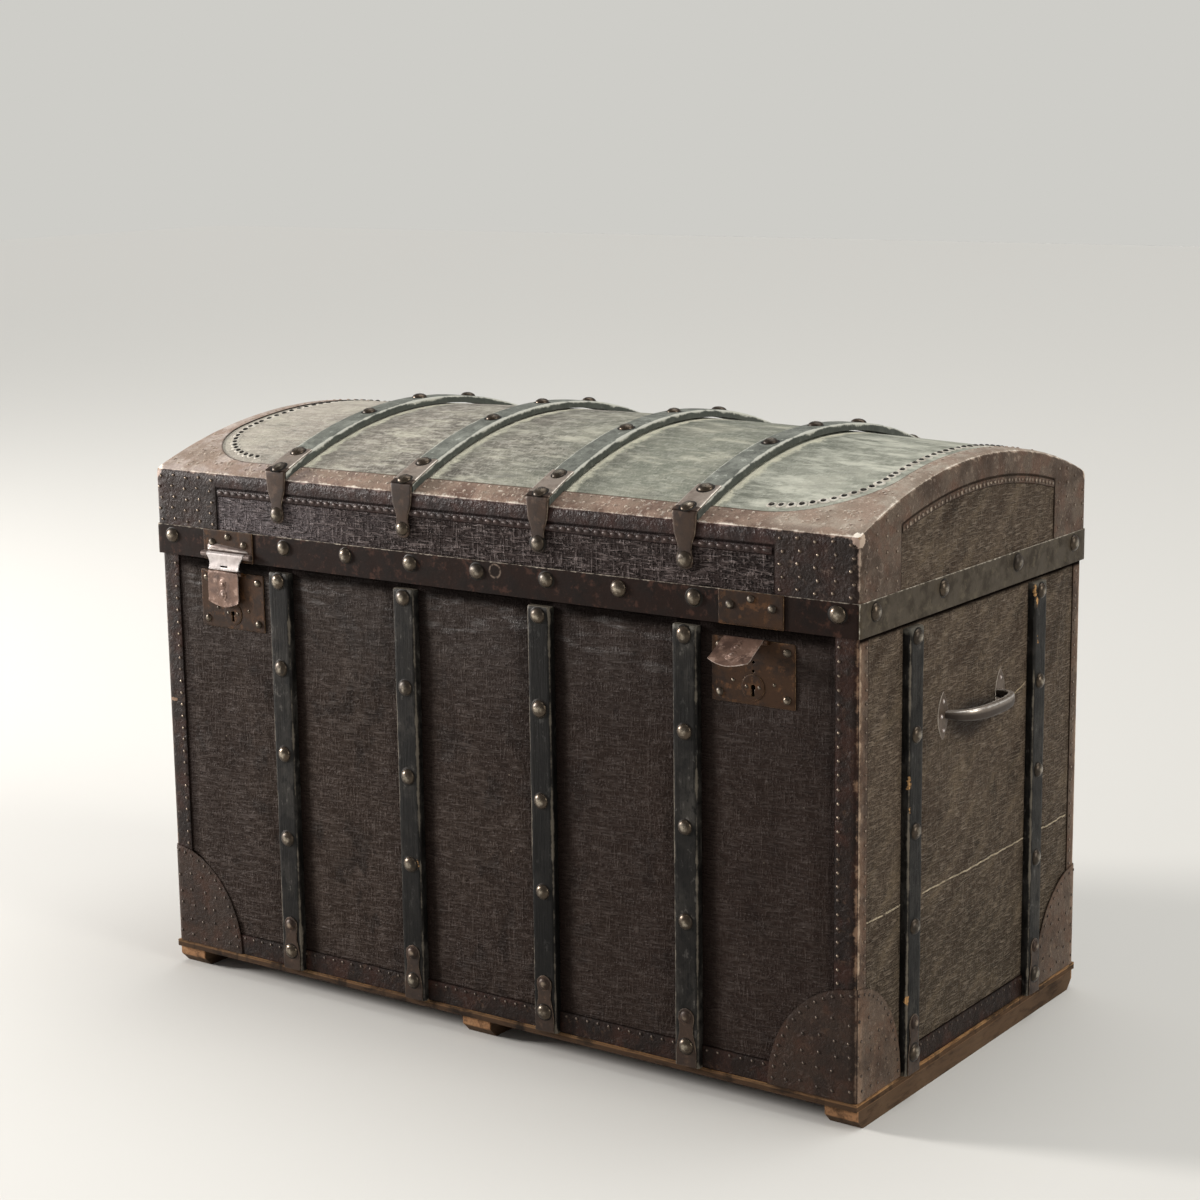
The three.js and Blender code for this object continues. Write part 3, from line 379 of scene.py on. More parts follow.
def rod(name, low, high, axis, radius, count=20):
    """A round bar along X from low to high, round an axis at (y, z), with eased ends."""
    ease = 0.4
    verts, wear_and_shading = [], []
    for x, r in ((low, radius - ease), (low + ease, radius), (high - ease, radius), (high, radius - ease)):
        verts += [(x, y, z) for y, z in ellipse(*axis, r, r, count)]
        wear_and_shading += [0.6 if r < radius else 0.1] * count
    return closed_bar(name, verts, wear_and_shading, count)


def bent_sheet(name, across, along, surface, thick, keep=lambda a, s: True):
    """A thin sheet over a grid of places; surface(a, s) gives the point and the way it faces.
    keep(a, s) says where there is sheet."""
    cells = {(i, j) for i in range(len(across) - 1) for j in range(len(along) - 1)
             if keep((across[i] + across[i + 1]) / 2, (along[j] + along[j + 1]) / 2)}

    def corners(i, j):
        return (i, j), (i + 1, j), (i + 1, j + 1), (i, j + 1)

    def open_sides(i, j):
        """The sides of a cell that has no neighbour there."""
        ring = corners(i, j)
        for k, (right, up) in enumerate(((0, -1), (1, 0), (0, 1), (-1, 0))):
            if (i + right, j + up) not in cells:
                yield ring[k], ring[(k + 1) % 4]

    def number(corner, layer):
        return (layer * len(across) + corner[0]) * len(along) + corner[1]

    rims = {corner for cell in cells for side in open_sides(*cell) for corner in side}
    verts, wear_and_shading, faces = [], [], []
    for height in (thick, 0):
        for i, a in enumerate(across):
            for j, s in enumerate(along):
                point, facing = surface(a, s)
                verts.append(point + facing.normalized() * height)
                wear_and_shading.append(1.0 if (i, j) in rims else 0.0)
    for cell in cells:
        top, low = (tuple(number(c, layer) for c in corners(*cell)) for layer in (0, 1))
        faces += [top, low[::-1]]
        faces += [(number(d, 0), number(c, 0), number(c, 1), number(d, 1)) for c, d in open_sides(*cell)]
    return outward_faces(new_piece(name, verts, faces, wear_and_shading, 50))


# Domed nails and tacks
def make_nail_tree():
    """Geometry nodes that set a domed nail on every point, turned to the point's facing."""
    tree = bpy.data.node_groups.new("domed_nails", "GeometryNodeTree")
    inputs = {"Points": "Geometry", "Radius": "Float", "Height": "Float", "Length": "Float", "Around": "Int",
              "Unevenness": "Float", "Seed": "Int", "Material": "Material"}
    for label, kind in inputs.items():
        tree.interface.new_socket(label, in_out="INPUT", socket_type="NodeSocket" + kind)
    tree.interface.new_socket("Nails", in_out="OUTPUT", socket_type="NodeSocketGeometry")

    def add(kind, inputs=(), out=0, **settings):
        return add_node(tree, kind, inputs, **settings).outputs[out]

    given = tree.nodes.new("NodeGroupInput").outputs
    half = add("ShaderNodeMath", {0: given["Around"], 1: 2.0}, operation="DIVIDE")
    round_ball = {"Segments": given["Around"], "Rings": half, "Radius": 1.0}
    ball = add("GeometryNodeMeshUVSphere", round_ball, "Mesh")
    height = add("ShaderNodeSeparateXYZ", {0: add("GeometryNodeInputPosition")}, 2)
    low = add("FunctionNodeCompare", {0: height, 1: -0.3}, operation="LESS_THAN")
    dome = add("GeometryNodeDeleteGeometry", {"Geometry": ball, "Selection": low})
    wear_and_shading_value = add("GeometryNodeStoreNamedAttribute", {"Geometry": dome, "Name": "wear_and_shading", "Value": height},
               data_type="FLOAT", domain="POINT")
    size = add("ShaderNodeCombineXYZ", {0: given["Length"], 1: given["Radius"], 2: given["Height"]})
    shaped = add("GeometryNodeTransform", {"Geometry": wear_and_shading_value, "Scale": size})
    facing = add("GeometryNodeInputNamedAttribute", {"Name": "facing"}, data_type="FLOAT_VECTOR")
    turn = add("FunctionNodeAlignRotationToVector", {"Vector": facing}, axis="Z")
    least, most = (add("ShaderNodeMath", {0: given["Unevenness"], 1: sign, 2: 1.0}, operation="MULTIPLY_ADD")
                   for sign in (-1, 1))
    spread = add("FunctionNodeRandomValue", {0: least, 1: most, "Seed": given["Seed"]},
                 data_type="FLOAT_VECTOR")
    placed = add("GeometryNodeInstanceOnPoints", {"Points": given["Points"], "Instance": shaped,
                                                  "Rotation": turn, "Scale": spread})
    smooth = add("GeometryNodeSetShadeSmooth", {0: add("GeometryNodeRealizeInstances", {0: placed})})
    painted = add("GeometryNodeSetMaterial", {"Geometry": smooth, "Material": given["Material"]})
    add_node(tree, "NodeGroupOutput", {0: painted})
    return tree


NAIL_TREE = make_nail_tree()


def nails(name, spots, radius, height, around, material, seed=1, uneven=0.06, longer=1.0):
    """Domed nails on the spots, each a (point, facing) in millimetres; longer stretches them along X."""
    mesh = bpy.data.meshes.new(name + "_points")
    mesh.from_pydata([Vector(p) * MM for p, _ in spots], [], [])
    layer = mesh.attributes.new("facing", "FLOAT_VECTOR", "POINT")
    layer.data.foreach_set("vector", [v for _, n in spots for v in Vector(n).normalized()])
    points = put(name + "_points", mesh)
    nodes = points.modifiers.new("nails", "NODES")
    nodes.node_group = NAIL_TREE
    sizes = {"Radius": radius * MM, "Height": height * MM, "Length": radius * longer * MM, "Around": around,
             "Unevenness": uneven, "Seed": seed, "Material": material}
    for item in NAIL_TREE.interface.items_tree:
        if item.name in sizes:
            nodes[item.identifier] = sizes[item.name]
    bpy.context.view_layer.update()
    done = points.evaluated_get(bpy.context.evaluated_depsgraph_get())
    made = bpy.data.meshes.new_from_object(done)
    bpy.data.objects.remove(points)
    made.name = name
    return put(name, made)


# Materials
def tone(red, green, blue):
    """A colour as seen on screen, 0 to 255, in linear light."""
    def linear(value):
        value /= 255
        return value / 12.92 if value <= 0.04045 else ((value + 0.055) / 1.055) ** 2.4
    return (linear(red), linear(green), linear(blue), 1.0)


def shade(colour, share, more=0):
    """A colour made darker or lighter."""
    return tuple(min(255, share * c + more) for c in colour)


class Value:
    """A number that changes from place to place, worked with the usual signs."""

    def __init__(self, look, socket):
        self.look, self.socket = look, socket

    def __add__(self, other):
        return self.look.calc("ADD", self, other)

    def __sub__(self, other):
        return self.look.calc("SUBTRACT", self, other)

    def __mul__(self, other):
        return self.look.calc("MULTIPLY", self, other)

    def __truediv__(self, other):
        return self.look.calc("DIVIDE", self, other)

    def __abs__(self):
        return self.look.calc("ABSOLUTE", self)

    def step(self, low, high, top=1.0):
        """0 below low, top above high, smooth between; high below low turns it round."""
        ends = (high, low, top, 0.0) if high < low else (low, high, 0.0, top)
        keys = ("Value", "From Min", "From Max", "To Min", "To Max")
        return self.look.made("ShaderNodeMapRange", dict(zip(keys, (self, *ends))), "Result",
                              interpolation_type="SMOOTHSTEP")


class Look:
    """A surface built up in layers of colour, roughness and relief over places in millimetres."""

    def __init__(self, name, colour, rough, metal=0.0, specular=0.15):
        self.material = bpy.data.materials.new(name)
        self.material.use_nodes = True
        self.tree = self.material.node_tree
        self.now = {"Base Color": tone(*colour), "Roughness": rough, "Metallic": metal,
                    "Specular IOR Level": specular}
        metres = self.made("ShaderNodeTexCoord", {}, "Object")
        self.place = self.made("ShaderNodeVectorMath", {0: metres, "Scale": 1000.0}, operation="SCALE")
        split = add_node(self.tree, "ShaderNodeSeparateXYZ", {0: self.place.socket})
        self.x, self.y, self.z = (Value(self, socket) for socket in split.outputs)
        self.wear_and_shading_value = self.made("ShaderNodeAttribute", {}, "Fac", attribute_name="wear_and_shading")

    def made(self, kind, inputs, out=0, **settings):
        """The value that comes out of a new node."""
        plain = {key: value.socket if isinstance(value, Value) else value for key, value in inputs.items()}
        return Value(self, add_node(self.tree, kind, plain, **settings).outputs[out])

    def calc(self, operation, *values):
        """A sum of values, plain numbers among them."""
        return self.made("ShaderNodeMath", dict(enumerate(values)), operation=operation)

    def stretched(self, size, stretch, shift):
        """Places counted in steps of size, longer ones along the stretched axes."""
        share = tuple(1 / (size * s) for s in stretch)
        move = (shift * 7.31, shift * 3.17, shift * 5.53)
        return self.made("ShaderNodeVectorMath", {0: self.place, 1: share, 2: move}, operation="MULTIPLY_ADD")

    def noise(self, size, detail=3.0, rough=0.55, stretch=(1, 1, 1), shift=0.0, bend=0.0):
        """Cloudy blotches, about size across, longer along the stretched axes."""
        return self.made("ShaderNodeTexNoise", {"Vector": self.stretched(size, stretch, shift), "Scale": 1.0,
                                                "Detail": detail, "Roughness": rough, "Distortion": bend})

    def cells(self, size, stretch=(1, 1, 1), shift=0.0, feature="F1"):
        """Distance inside cells that are about size across."""
        inputs = {"Vector": self.stretched(size, stretch, shift), "Scale": 1.0}
        return self.made("ShaderNodeTexVoronoi", inputs, "Distance", feature=feature)

    def threads(self, pitch, length):
        """Relief of woven threads: long thin blotches along each axis, the upright ones a little lower."""
        along_x, along_y, along_z = (
            self.noise(pitch, 1.5, 0.5, [length if axis == turn else 1.0 for axis in range(3)], turn)
            for turn in range(3))
        return self.calc("MAXIMUM", self.calc("MAXIMUM", along_x, along_y), along_z - 0.03)

    def beside(self, shift):
        """How far a place lies to the right of the nearest line that runs shift beside a slat."""
        step = SLATS[1] - SLATS[0]
        place = self.x + (step / 2 - SLATS[0] - shift + 4 * step)
        return self.calc("FLOORED_MODULO", place, step) - step / 2

    def away(self, point, place=None):
        """How far a place lies from a point."""
        return self.made("ShaderNodeVectorMath", {0: place or self.place, 1: point}, "Value",
                         operation="DISTANCE")

    def spot(self, x, y, z, size, tall=2.6):
        """A small uneven patch about a place, size across and tall times as high."""
        away = self.away((x, y, z / tall), self.stretched(1.0, (1, 1, tall), 0.0))
        return (away + self.noise(5, 4.0, 0.7, shift=6) * 10).step(size + 5.5, size + 4.5)

    def ragged(self, size, low, high, top=1.0):
        """The rubbed places, with an uneven outline that skips some of them."""
        return (self.wear_and_shading_value + self.noise(size, 5.0, 0.7, shift=6) * 2.0).step(low, high, top)

    def layer(self, factor, colour=None, rough=None, metal=None, gloss=None):
        """Lays a finish over what is there, as far as the factor goes."""
        finishes = {"Base Color": colour and tone(*colour), "Roughness": rough, "Metallic": metal,
                    "Specular IOR Level": gloss}
        for key, value in finishes.items():
            if value is not None:
                kind, first, second, out = ("RGBA", 6, 7, 2) if key == "Base Color" else ("FLOAT", 2, 3, 0)
                inputs = {0: factor, first: self.now[key], second: value}
                self.now[key] = self.made("ShaderNodeMix", inputs, out, data_type=kind)

    def done(self, *heights):
        """The finished material, with bumps from (value, depth in millimetres) pairs."""
        finishes = dict(self.now)
        for height, depth in heights:
            inputs = {"Height": height, "Strength": 1.0, "Distance": depth * MM}
            if "Normal" in finishes:
                inputs["Normal"] = finishes["Normal"]
            finishes["Normal"] = self.made("ShaderNodeBump", inputs)
        shader = self.tree.nodes["Principled BSDF"]
        for key, value in finishes.items():
            if isinstance(value, Value):
                self.tree.links.new(value.socket, shader.inputs[key])
            else:
                shader.inputs[key].default_value = value
        return self.material


def canvas_look(name, base, crest, dust, depth=0.6, rubbed=0.3, pitch=2.0, low=None, marks=None):
    """Painted canvas: coarse threads in relief, glossy crests made lighter by wear and painted highlight,
    painted shade in the grooves, soft clouds of dust and small specks.
    """
    look = Look(name, base, 0.62, specular=0.08)
    raised = look.threads(pitch, 7.0).step(0.44, 0.74)
    rows = look.noise(0.8 * pitch, 1.5, 0.5, (8, 8, 1), 21).step(0.42, 0.66)
    clouds = look.noise(150, 4.0, 0.6)
    streaks = look.noise(24, 4.0, 0.65, (0.7, 0.7, 2.4), 2)
    stains = look.noise(42, 5.0, 0.65, (1, 1, 1.4), 15)
    look.layer(clouds.step(0.36, 0.68, 0.6), dust)
    look.layer(streaks.step(0.5, 0.74, 0.45), dust)
    look.layer(stains.step(0.47, 0.34, 0.7), shade(base, 0.6))
    if low:
        level = look.z + look.noise(60, 3.0, 0.6, shift=8) * 160
        look.layer(level.step(420, 150, 0.8), low)
    # thread crests lighter, partly wear and partly painted highlight; grooves darker as painted shade
    look.layer(raised.step(0.4, 1.0, rubbed), crest, 0.42, gloss=0.3)
    look.layer(raised.step(0.35, 0.0, 0.4), shade(base, 0.55), 0.8, gloss=0.0)
    look.layer(rows.step(0.5, 1.0, 0.6 * rubbed), crest, 0.45, gloss=0.25)
    look.layer(rows.step(0.3, 0.0, 0.3), shade(base, 0.6), 0.8, gloss=0.0)
    look.layer(look.noise(7, 4.0, 0.7, shift=5).step(0.68, 0.76, 0.5), shade(crest, 1.4))
    specks = look.cells(17, shift=4).step(0.07, 0.03, 0.6)
    look.layer(specks * look.noise(30, 2.0, 0.5, shift=9).step(0.52, 0.62), (150, 138, 122))
    if marks:
        marks(look)
    swell = look.noise(70, 2.0, 0.5, (1, 1, 1.8), 3)
    folds = look.noise(16, 3.0, 0.55, (2.2, 2.2, 0.6), 6)
    fine = look.noise(1.0, 2.0, 0.6)
    return look.done((swell, 5.0), (folds, 0.9), (raised, 0.8 * depth), (rows, 0.8 * depth), (fine, 0.08))


def front_light_and_shade(look):
    """Painted light and shade on the front canvas: sheen high in the bays and on the puckers, where
    the varnish also shines, shade growing to the right, and shadows under the band and along the slats.
    """
    wander = (look.noise(12, 4.0, 0.65, shift=16) - 0.5) * 16
    # painted sheen: lighter and greyer towards the top of the bays
    look.layer((look.z + wander * 6).step(330, 470, 0.35), (58, 53, 51))
    # painted shade: darker towards the right, away from the light on the left
    look.layer((look.x + wander * 8).step(-200, 380, 0.5), (38, 28, 25))
    # painted sheen in patches on the puckers near the top, with real gloss
    patch = look.noise(24, 2.5, 0.6, (2.2, 2.2, 0.5), 17).step(0.5, 0.66) * look.x.step(280, 255)
    look.layer(look.z.step(415, 470, 0.75) * patch, (60, 54, 51), 0.4, gloss=0.36)
    # painted shadow: a dark line under the band
    look.layer((look.z + wander * 0.4).step(476, 488, 0.92), (12, 9, 8), 0.85, gloss=0.0)
    # painted shadow beside each slat, wide on its right and narrow on its left; the colour named dirt here is
    # painted shadow
    dirt = (24, 17, 15)
    gap = look.beside(14.5)
    look.layer(gap.step(-1.0, 0.0) * (gap + wander).step(26, 2, 0.75), dirt, 0.75, gloss=0.03)
    gap = look.beside(-14.5)
    look.layer(gap.step(1.0, 0.0) * gap.step(-9, -0.5, 0.6), dirt, 0.75, gloss=0.03)


def shadow_under_band(look):
    """A painted shadow: a dark line right under the foot of the lid."""
    look.layer(look.z.step(487, 491) * look.z.step(501, 499), (17, 13, 11), 0.8, gloss=0.0)


def pale_corner(look):
    """The bindings are rubbed to a pale tan beside the upright corners."""
    near = abs(look.y) + look.noise(14, 4.0, 0.65, shift=19) * 9
    look.layer(near.step(238, 248, 0.75), (132, 109, 91))


def end_marks_and_shade(look):
    """A split along the right hand end with pale bare edges, a scratch, a painted shadow below the
    handle and a painted shadow under the band.
    """
    wander = (look.noise(14, 4.0, 0.6, shift=11) - 0.5) * 4
    away = abs(look.z + wander - 208)
    breaks = look.noise(18, 3.0, 0.6, shift=12).step(0.34, 0.46)
    side = look.x.step(440, 441)
    inside = away.step(1.4, 0.5, 0.9) * breaks
    look.layer(inside * side, (186, 172, 148))
    below = away.step(3.5, 1.2, 0.5) * breaks
    look.layer((below - inside) * side, (40, 30, 24))
    slant = look.made("ShaderNodeVectorMath", {0: look.place, 1: (0.0, 0.5, -0.86)}, "Value",
                      operation="DOT_PRODUCT")
    streaks = look.made("ShaderNodeCombineXYZ", {0: slant * 0.04, 1: look.y * 0.015})
    drift = look.made("ShaderNodeTexNoise",
                      {"Vector": streaks, "Scale": 1.0, "Detail": 5.0, "Roughness": 0.65})
    look.layer(drift.step(0.48, 0.72, 0.45), (122, 107, 88), 0.6)
    look.layer(drift.step(0.5, 0.28, 0.6), (54, 42, 34), 0.7)
    level = look.z + look.y * -0.25
    scratch = abs(level + wander - 352).step(0.9, 0.3, 0.8)
    span = look.y.step(60, 70) * look.y.step(120, 112)
    look.layer(scratch * span * side, (176, 160, 132))
    # painted shadow of the handle on the canvas below it
    across = (look.y + 11) / 2.3
    down = look.z - 369
    look.layer((across * across + down * down).step(620, 120, 0.85), (44, 37, 33))
    shadow_under_band(look)


def left_shine(look):
    """The varnish of the lid's front catches more light towards the left."""
    part = (look.x + look.noise(60, 3.0, 0.6, shift=20) * 200).step(40, -280, 0.4)
    look.layer(part * look.y.step(-240, -248), (112, 104, 108), 0.45, gloss=0.25)


def dusty(look):
    """Pale dust in smears over the dome, greener to the right, and a pale line beside each slat; the
    left end and the last bay are lighter, partly painted light.
    """
    drift = look.noise(13, 4.0, 0.7, (5, 1.6, 1), 13)
    broad = look.noise(60, 4.0, 0.6, (1.6, 1, 1), 18)
    look.layer((look.x + broad * 300).step(0, 330, 0.55), (134, 141, 127))
    # lighter and creamier towards the left end: partly painted light
    look.layer(look.x.step(-150, -400, 0.6), (192, 184, 172))
    look.layer(broad.step(0.5, 0.68, 0.35), (176, 173, 158), 0.75)
    look.layer(drift.step(0.5, 0.7, 0.6), (202, 199, 182), 0.75)
    look.layer(drift.step(0.45, 0.28, 0.55), (106, 106, 100))
    # the last bay lighter in dusty mottles: dust and painted light
    last_bay = look.x.step(270, 300)
    look.layer(last_bay * broad.step(0.3, 0.7, 0.4), (192, 193, 180), 0.7)
    look.layer(last_bay * drift.step(0.44, 0.62, 0.5), (208, 209, 195), 0.7)
    gap = look.beside(16.0)
    wander = (look.noise(14, 4.0, 0.65, shift=14) - 0.5) * 34
    line = gap.step(-2.5, 0.0) * (gap + wander).step(12, 2, 0.9)
    look.layer(line * abs(look.x).step(300, 299), (214, 211, 190), 0.75)


def leather_look(name, base, dark, rubbed, sheen=0.5, edge=0.9, red=None, blotch=0.35, marks=None, scuffs=(),
                 low=1.78, last=None):
    """Hard old leather: dark clouds, fine cracks, dirt and painted shade at cut edges, rubbed pale at
    corners.
    """
    look = Look(name, base, sheen, specular=0.14)
    clouds = look.noise(40, 5.0, 0.6)
    grain = look.noise(2.0, 3.0, 0.65, shift=1)
    creases = look.noise(9, 4.0, 0.65, (1, 1, 1), 7, 1.5)
    cracks = look.cells(4.5, (1, 1, 1.2), 2, "DISTANCE_TO_EDGE")
    if marks:
        marks(look)
    if red:
        look.layer(look.noise(30, 3.0, 0.6, shift=9).step(0.42, 0.62, 0.8), red)
    look.layer(clouds.step(0.44, 0.66, 0.8), dark, sheen + 0.1)
    look.layer(creases.step(0.56, 0.7, 0.5), shade(base, 1.25, 6), sheen - 0.1, gloss=0.4)
    look.layer(look.noise(8, 5.0, 0.7, shift=4).step(0.56, 0.74, blotch), rubbed)
    look.layer(cracks.step(0.05, 0.0, 0.35), shade(dark, 0.5), 0.8)
    # darker at cut edges: dirt and painted shade
    look.layer(look.wear_and_shading_value.step(-0.25, -0.7, 0.75), shade(dark, 0.4), 0.8, gloss=0.0)
    pale = shade(rubbed, 1.1, 14)
    look.layer(look.ragged(16, low, low + 0.42, edge), pale, 0.55)
    for x, y, z, size, tall in scuffs:
        look.layer(look.spot(x, y, z, size, tall), pale, 0.4)
    if last:
        last(look)
    return look.done((clouds, 1.4), (creases, 1.0), (grain, 0.25), (cracks, 0.3))


def strips(look):
    """On the dome the narrow front and back strips are redder and darker than the corner patches."""
    middle = abs(look.x).step(372, 340) * abs(look.y).step(214, 226)
    look.layer(middle * 0.85, (102, 78, 67))
    look.layer(abs(look.y).step(238, 247, 0.55), (92, 69, 60))
    look.layer(look.x.step(-120, -380, 0.6), (196, 182, 176))


def paint_look(name, base, pale, rubbed, bare, chips_at=(), top=None, low=1.8, side=None, blots=0.85):
    """Old paint on a wooden slat, rubbed pale at the edges and chipped to bare wood in places."""
    look = Look(name, base, 0.42, specular=0.12)
    along = look.noise(4, 4.0, 0.6, (0.5, 0.5, 9))
    clouds = look.noise(26, 5.0, 0.65, (1, 1, 2), 2)
    smears = look.noise(9, 5.0, 0.7, (1, 1, 1.6), 12)
    look.layer(clouds.step(0.44, 0.68, 0.6), pale, 0.5)
    look.layer(along.step(0.54, 0.72, 0.6), shade(base, 0.55), 0.5)
    look.layer(smears.step(0.5, 0.62, blots), shade(base, 0.4), 0.5)
    look.layer(smears.step(0.42, 0.3, 0.5), shade(pale, 1.3, 8), 0.36, gloss=0.4)
    if top:  # dusty upper ends; the third slat kept more of its black
        edge = look.z + look.noise(8, 3.0, 0.6, shift=3) * 14
        look.layer(edge.step(488, 493, 0.4), top, 0.6)
        look.layer(look.noise(75, 3.0, 0.6, shift=21).step(0.5, 0.4, 0.7), shade(base, 0.45))
        look.layer(abs(look.x - SLATS[2]).step(22, 20, 0.7), shade(base, 0.35))
    # painted shade: the slat's sides darker
    if side:
        for way in (-1, 1):
            away = look.beside(way * 13.4) * way
            look.layer(away.step(-0.6, 0.4) * away.step(4, 3, 0.8), side, 0.5)
    look.layer(look.ragged(46, low, low + 0.3, 0.65), rubbed, 0.5)
    chips = look.noise(14, 5.0, 0.65, (0.7, 0.7, 2.0), 9).step(0.76, 0.78)
    for chip in chips_at:
        chips = look.calc("MAXIMUM", chips, look.spot(*chip))
    look.layer(chips, bare, 0.75)
    look.layer(chips * along.step(0.46, 0.6, 0.7), shade(bare, 0.6), 0.8)
    return look.done((along, 0.4), (look.noise(3, 3.0, 0.6, shift=3), 0.15), (chips, -0.6))


def metal_look(name, base, bright, dull, rough=0.42, metal=0.75, spots=None, sheer=0.2, low=1.05, high=1.45,
               under=None, marks=None):
    """Tarnished sheet: dull clouds, small pits, rubbed bright at edges and crowns, and bright where a
    painted highlight is marked. under gives the height below which painted shade darkens it, and that
    dark colour."""
    look = Look(name, base, rough, metal, sheer)
    clouds = look.noise(22, 5.0, 0.62)
    pits = look.noise(3.0, 4.0, 0.65, shift=3)
    look.layer(clouds.step(0.42, 0.66, 0.85), dull, rough + 0.2, metal * 0.5)
    if spots:
        look.layer(look.noise(11, 5.0, 0.7, shift=8).step(0.53, 0.66, 0.8), spots, rough + 0.1, 0.1)
    look.layer(pits.step(0.6, 0.72, 0.5), shade(dull, 0.6), rough + 0.2, 0.0)
    crowns = look.wear_and_shading_value + look.noise(6, 4.0, 0.6, shift=5) * 0.8
    look.layer(crowns.step(low, high, 0.9), bright, rough - 0.12, metal)
    # painted shade below a height
    if under:
        height, dark = under
        look.layer(look.z.step(height + 3, height - 2, 0.9), dark, rough + 0.25, 0.0, 0.08)
    if marks:
        marks(look)
    return look.done((clouds, 0.5), (pits, 0.12))


def ring_mark(look):
    """The broken ring that a lost nail left on the front of the band."""
    ring = abs(look.away((28, -251.5, 519)) - 7.0).step(1.6, 0.3, 0.6)
    look.layer(ring * look.noise(6, 3.0, 0.6, shift=9).step(0.42, 0.56), (128, 112, 100))


def wood_look(name, base, dark, pale, grain=(8, 1, 1), plies=None, sides=None, dirty=0.8):
    """Bare wood with grain along one axis; plies draws the thin lines of a plywood edge."""
    look = Look(name, base, 0.72, specular=0.1)
    fibres = look.noise(3.2, 4.0, 0.6, grain)
    look.layer(fibres.step(0.45, 0.66, 0.7), dark)
    look.layer(look.noise(40, 4.0, 0.6, shift=2).step(0.45, 0.7, 0.6), pale)
    if plies:
        wave = look.calc("SINE", look.z * (2 * math.pi / plies))
        look.layer(wave.step(0.3, 0.9, 0.5), dark)
        look.layer(look.z.step(27.4, 25.6, 0.85), dark)
        look.layer(abs(look.y).step(248.5, 249.5, 0.6), dark)
    if sides:
        look.layer(abs(look.y).step(244.5, 243.5, 0.85), sides)
        look.layer(look.z.step(19.5, 20.8, 0.5), pale)
    dirt = look.noise(14, 5.0, 0.65, tuple(1 + 0.4 * (g - 1) for g in grain), 4)
    look.layer(dirt.step(0.5, 0.64, dirty), shade(dark, 0.45))
    stains = look.noise(26 if plies else 160, 3.0, 0.6, (1, 1, 3) if plies else (1, 1, 1), 5)
    look.layer(stains.step(0.45, 0.3, dirty), shade(dark, 0.35))
    return look.done((fibres, 0.3), (dirt, 0.3))


CORNERS = tuple((sx * 459, sy * 250, 591, 9.0, 1.0) for sx in (-1, 1) for sy in (-1, 1))
CHIPS = ((464, 119, 482, 2.5), (464, 123, 468, 2), (463, 126, 427, 1.5), (463, -157, 334, 2),
         (-84, -254, 184, 2), (463, -156, 306, 1), (463, -157, 110, 2))

# Colours are as seen on screen, 0 to 255: the ground first, then what lies on it
CANVAS = canvas_look("case_canvas", (50, 40, 35), (84, 73, 66), (60, 49, 42), 0.85, 0.2, 2.4, marks=front_light_and_shade)
# lighter copy of the canvas for the ends, partly painted light; it carries the split, streaks and painted
# shadows
END_CANVAS = canvas_look("end_canvas", (85, 73, 62), (132, 118, 102), (103, 89, 76), 1.3, 0.4, 2.2,
                         (66, 58, 48), end_marks_and_shade)
LID_CANVAS = canvas_look("lid_side_canvas", (56, 47, 45), (134, 120, 117), (72, 61, 59), 2.9, 0.4, 2.8,
                         marks=left_shine)
DOME_CANVAS = canvas_look("dome_canvas", (132, 127, 118), (188, 184, 173), (150, 145, 135), 0.6, 0.6, 1.9,
                          marks=dusty)
LEATHER = leather_look("case_leather", (30, 19, 14), (22, 14, 11), (104, 80, 62), 0.46, 0.85, (50, 28, 20),
                       scuffs=((-449, -248, 322, 5.0, 0.4),))
PATCH_LEATHER = leather_look("corner_patch_leather", (49, 37, 30), (35, 26, 21), (92, 74, 60), 0.46, 0.7,
                             (61, 40, 30))
# lighter copy of the case leather for the ends, partly painted light; painted shadow under the band
CORNER_LEATHER = leather_look("corner_end_leather", (86, 72, 61), (62, 50, 42), (150, 130, 110), 0.48, 0.7,
                              (90, 68, 54), 0.5, pale_corner, low=1.45, last=shadow_under_band)
LID_PATCH = leather_look("lid_patch_leather", (40, 29, 25), (27, 20, 17), (136, 116, 104), 0.42, 0.9,
                         (48, 29, 23), scuffs=CORNERS)
STRIP_LEATHER = leather_look("lid_strip_leather", (45, 34, 32), (29, 21, 20), (122, 102, 96), 0.34, 0.7,
                             (56, 37, 33))
# lighter copy of the lid leather for the ends, partly painted light
END_LEATHER = leather_look("lid_end_leather", (92, 79, 68), (62, 50, 42), (152, 135, 119), 0.48, 0.9,
                           (94, 70, 57), 0.6, scuffs=CORNERS)
DOME_LEATHER = leather_look("dome_leather", (166, 154, 140), (134, 118, 104), (212, 203, 190), 0.55, 0.75,
                            (150, 128, 113), 0.8, strips, CORNERS)
SLAT_PAINT = paint_look("slat_paint", (26, 24, 22), (60, 57, 53), (116, 108, 96), (186, 144, 96), CHIPS,
                        (118, 114, 104))
# lighter copy of the slat paint for the dome slats, partly painted sheen; painted shade on their sides
DOME_PAINT = paint_look("dome_slat_paint", (108, 111, 104), (150, 153, 144), (222, 222, 210), (160, 142, 118),
                        low=1.6, side=(58, 62, 58), blots=0.35)
BAND = metal_look("band_sheet", (31, 20, 16), (206, 194, 178), (21, 14, 11), 0.42, 0.1, (62, 41, 33), 0.07,
                  1.2, 1.6, marks=ring_mark)
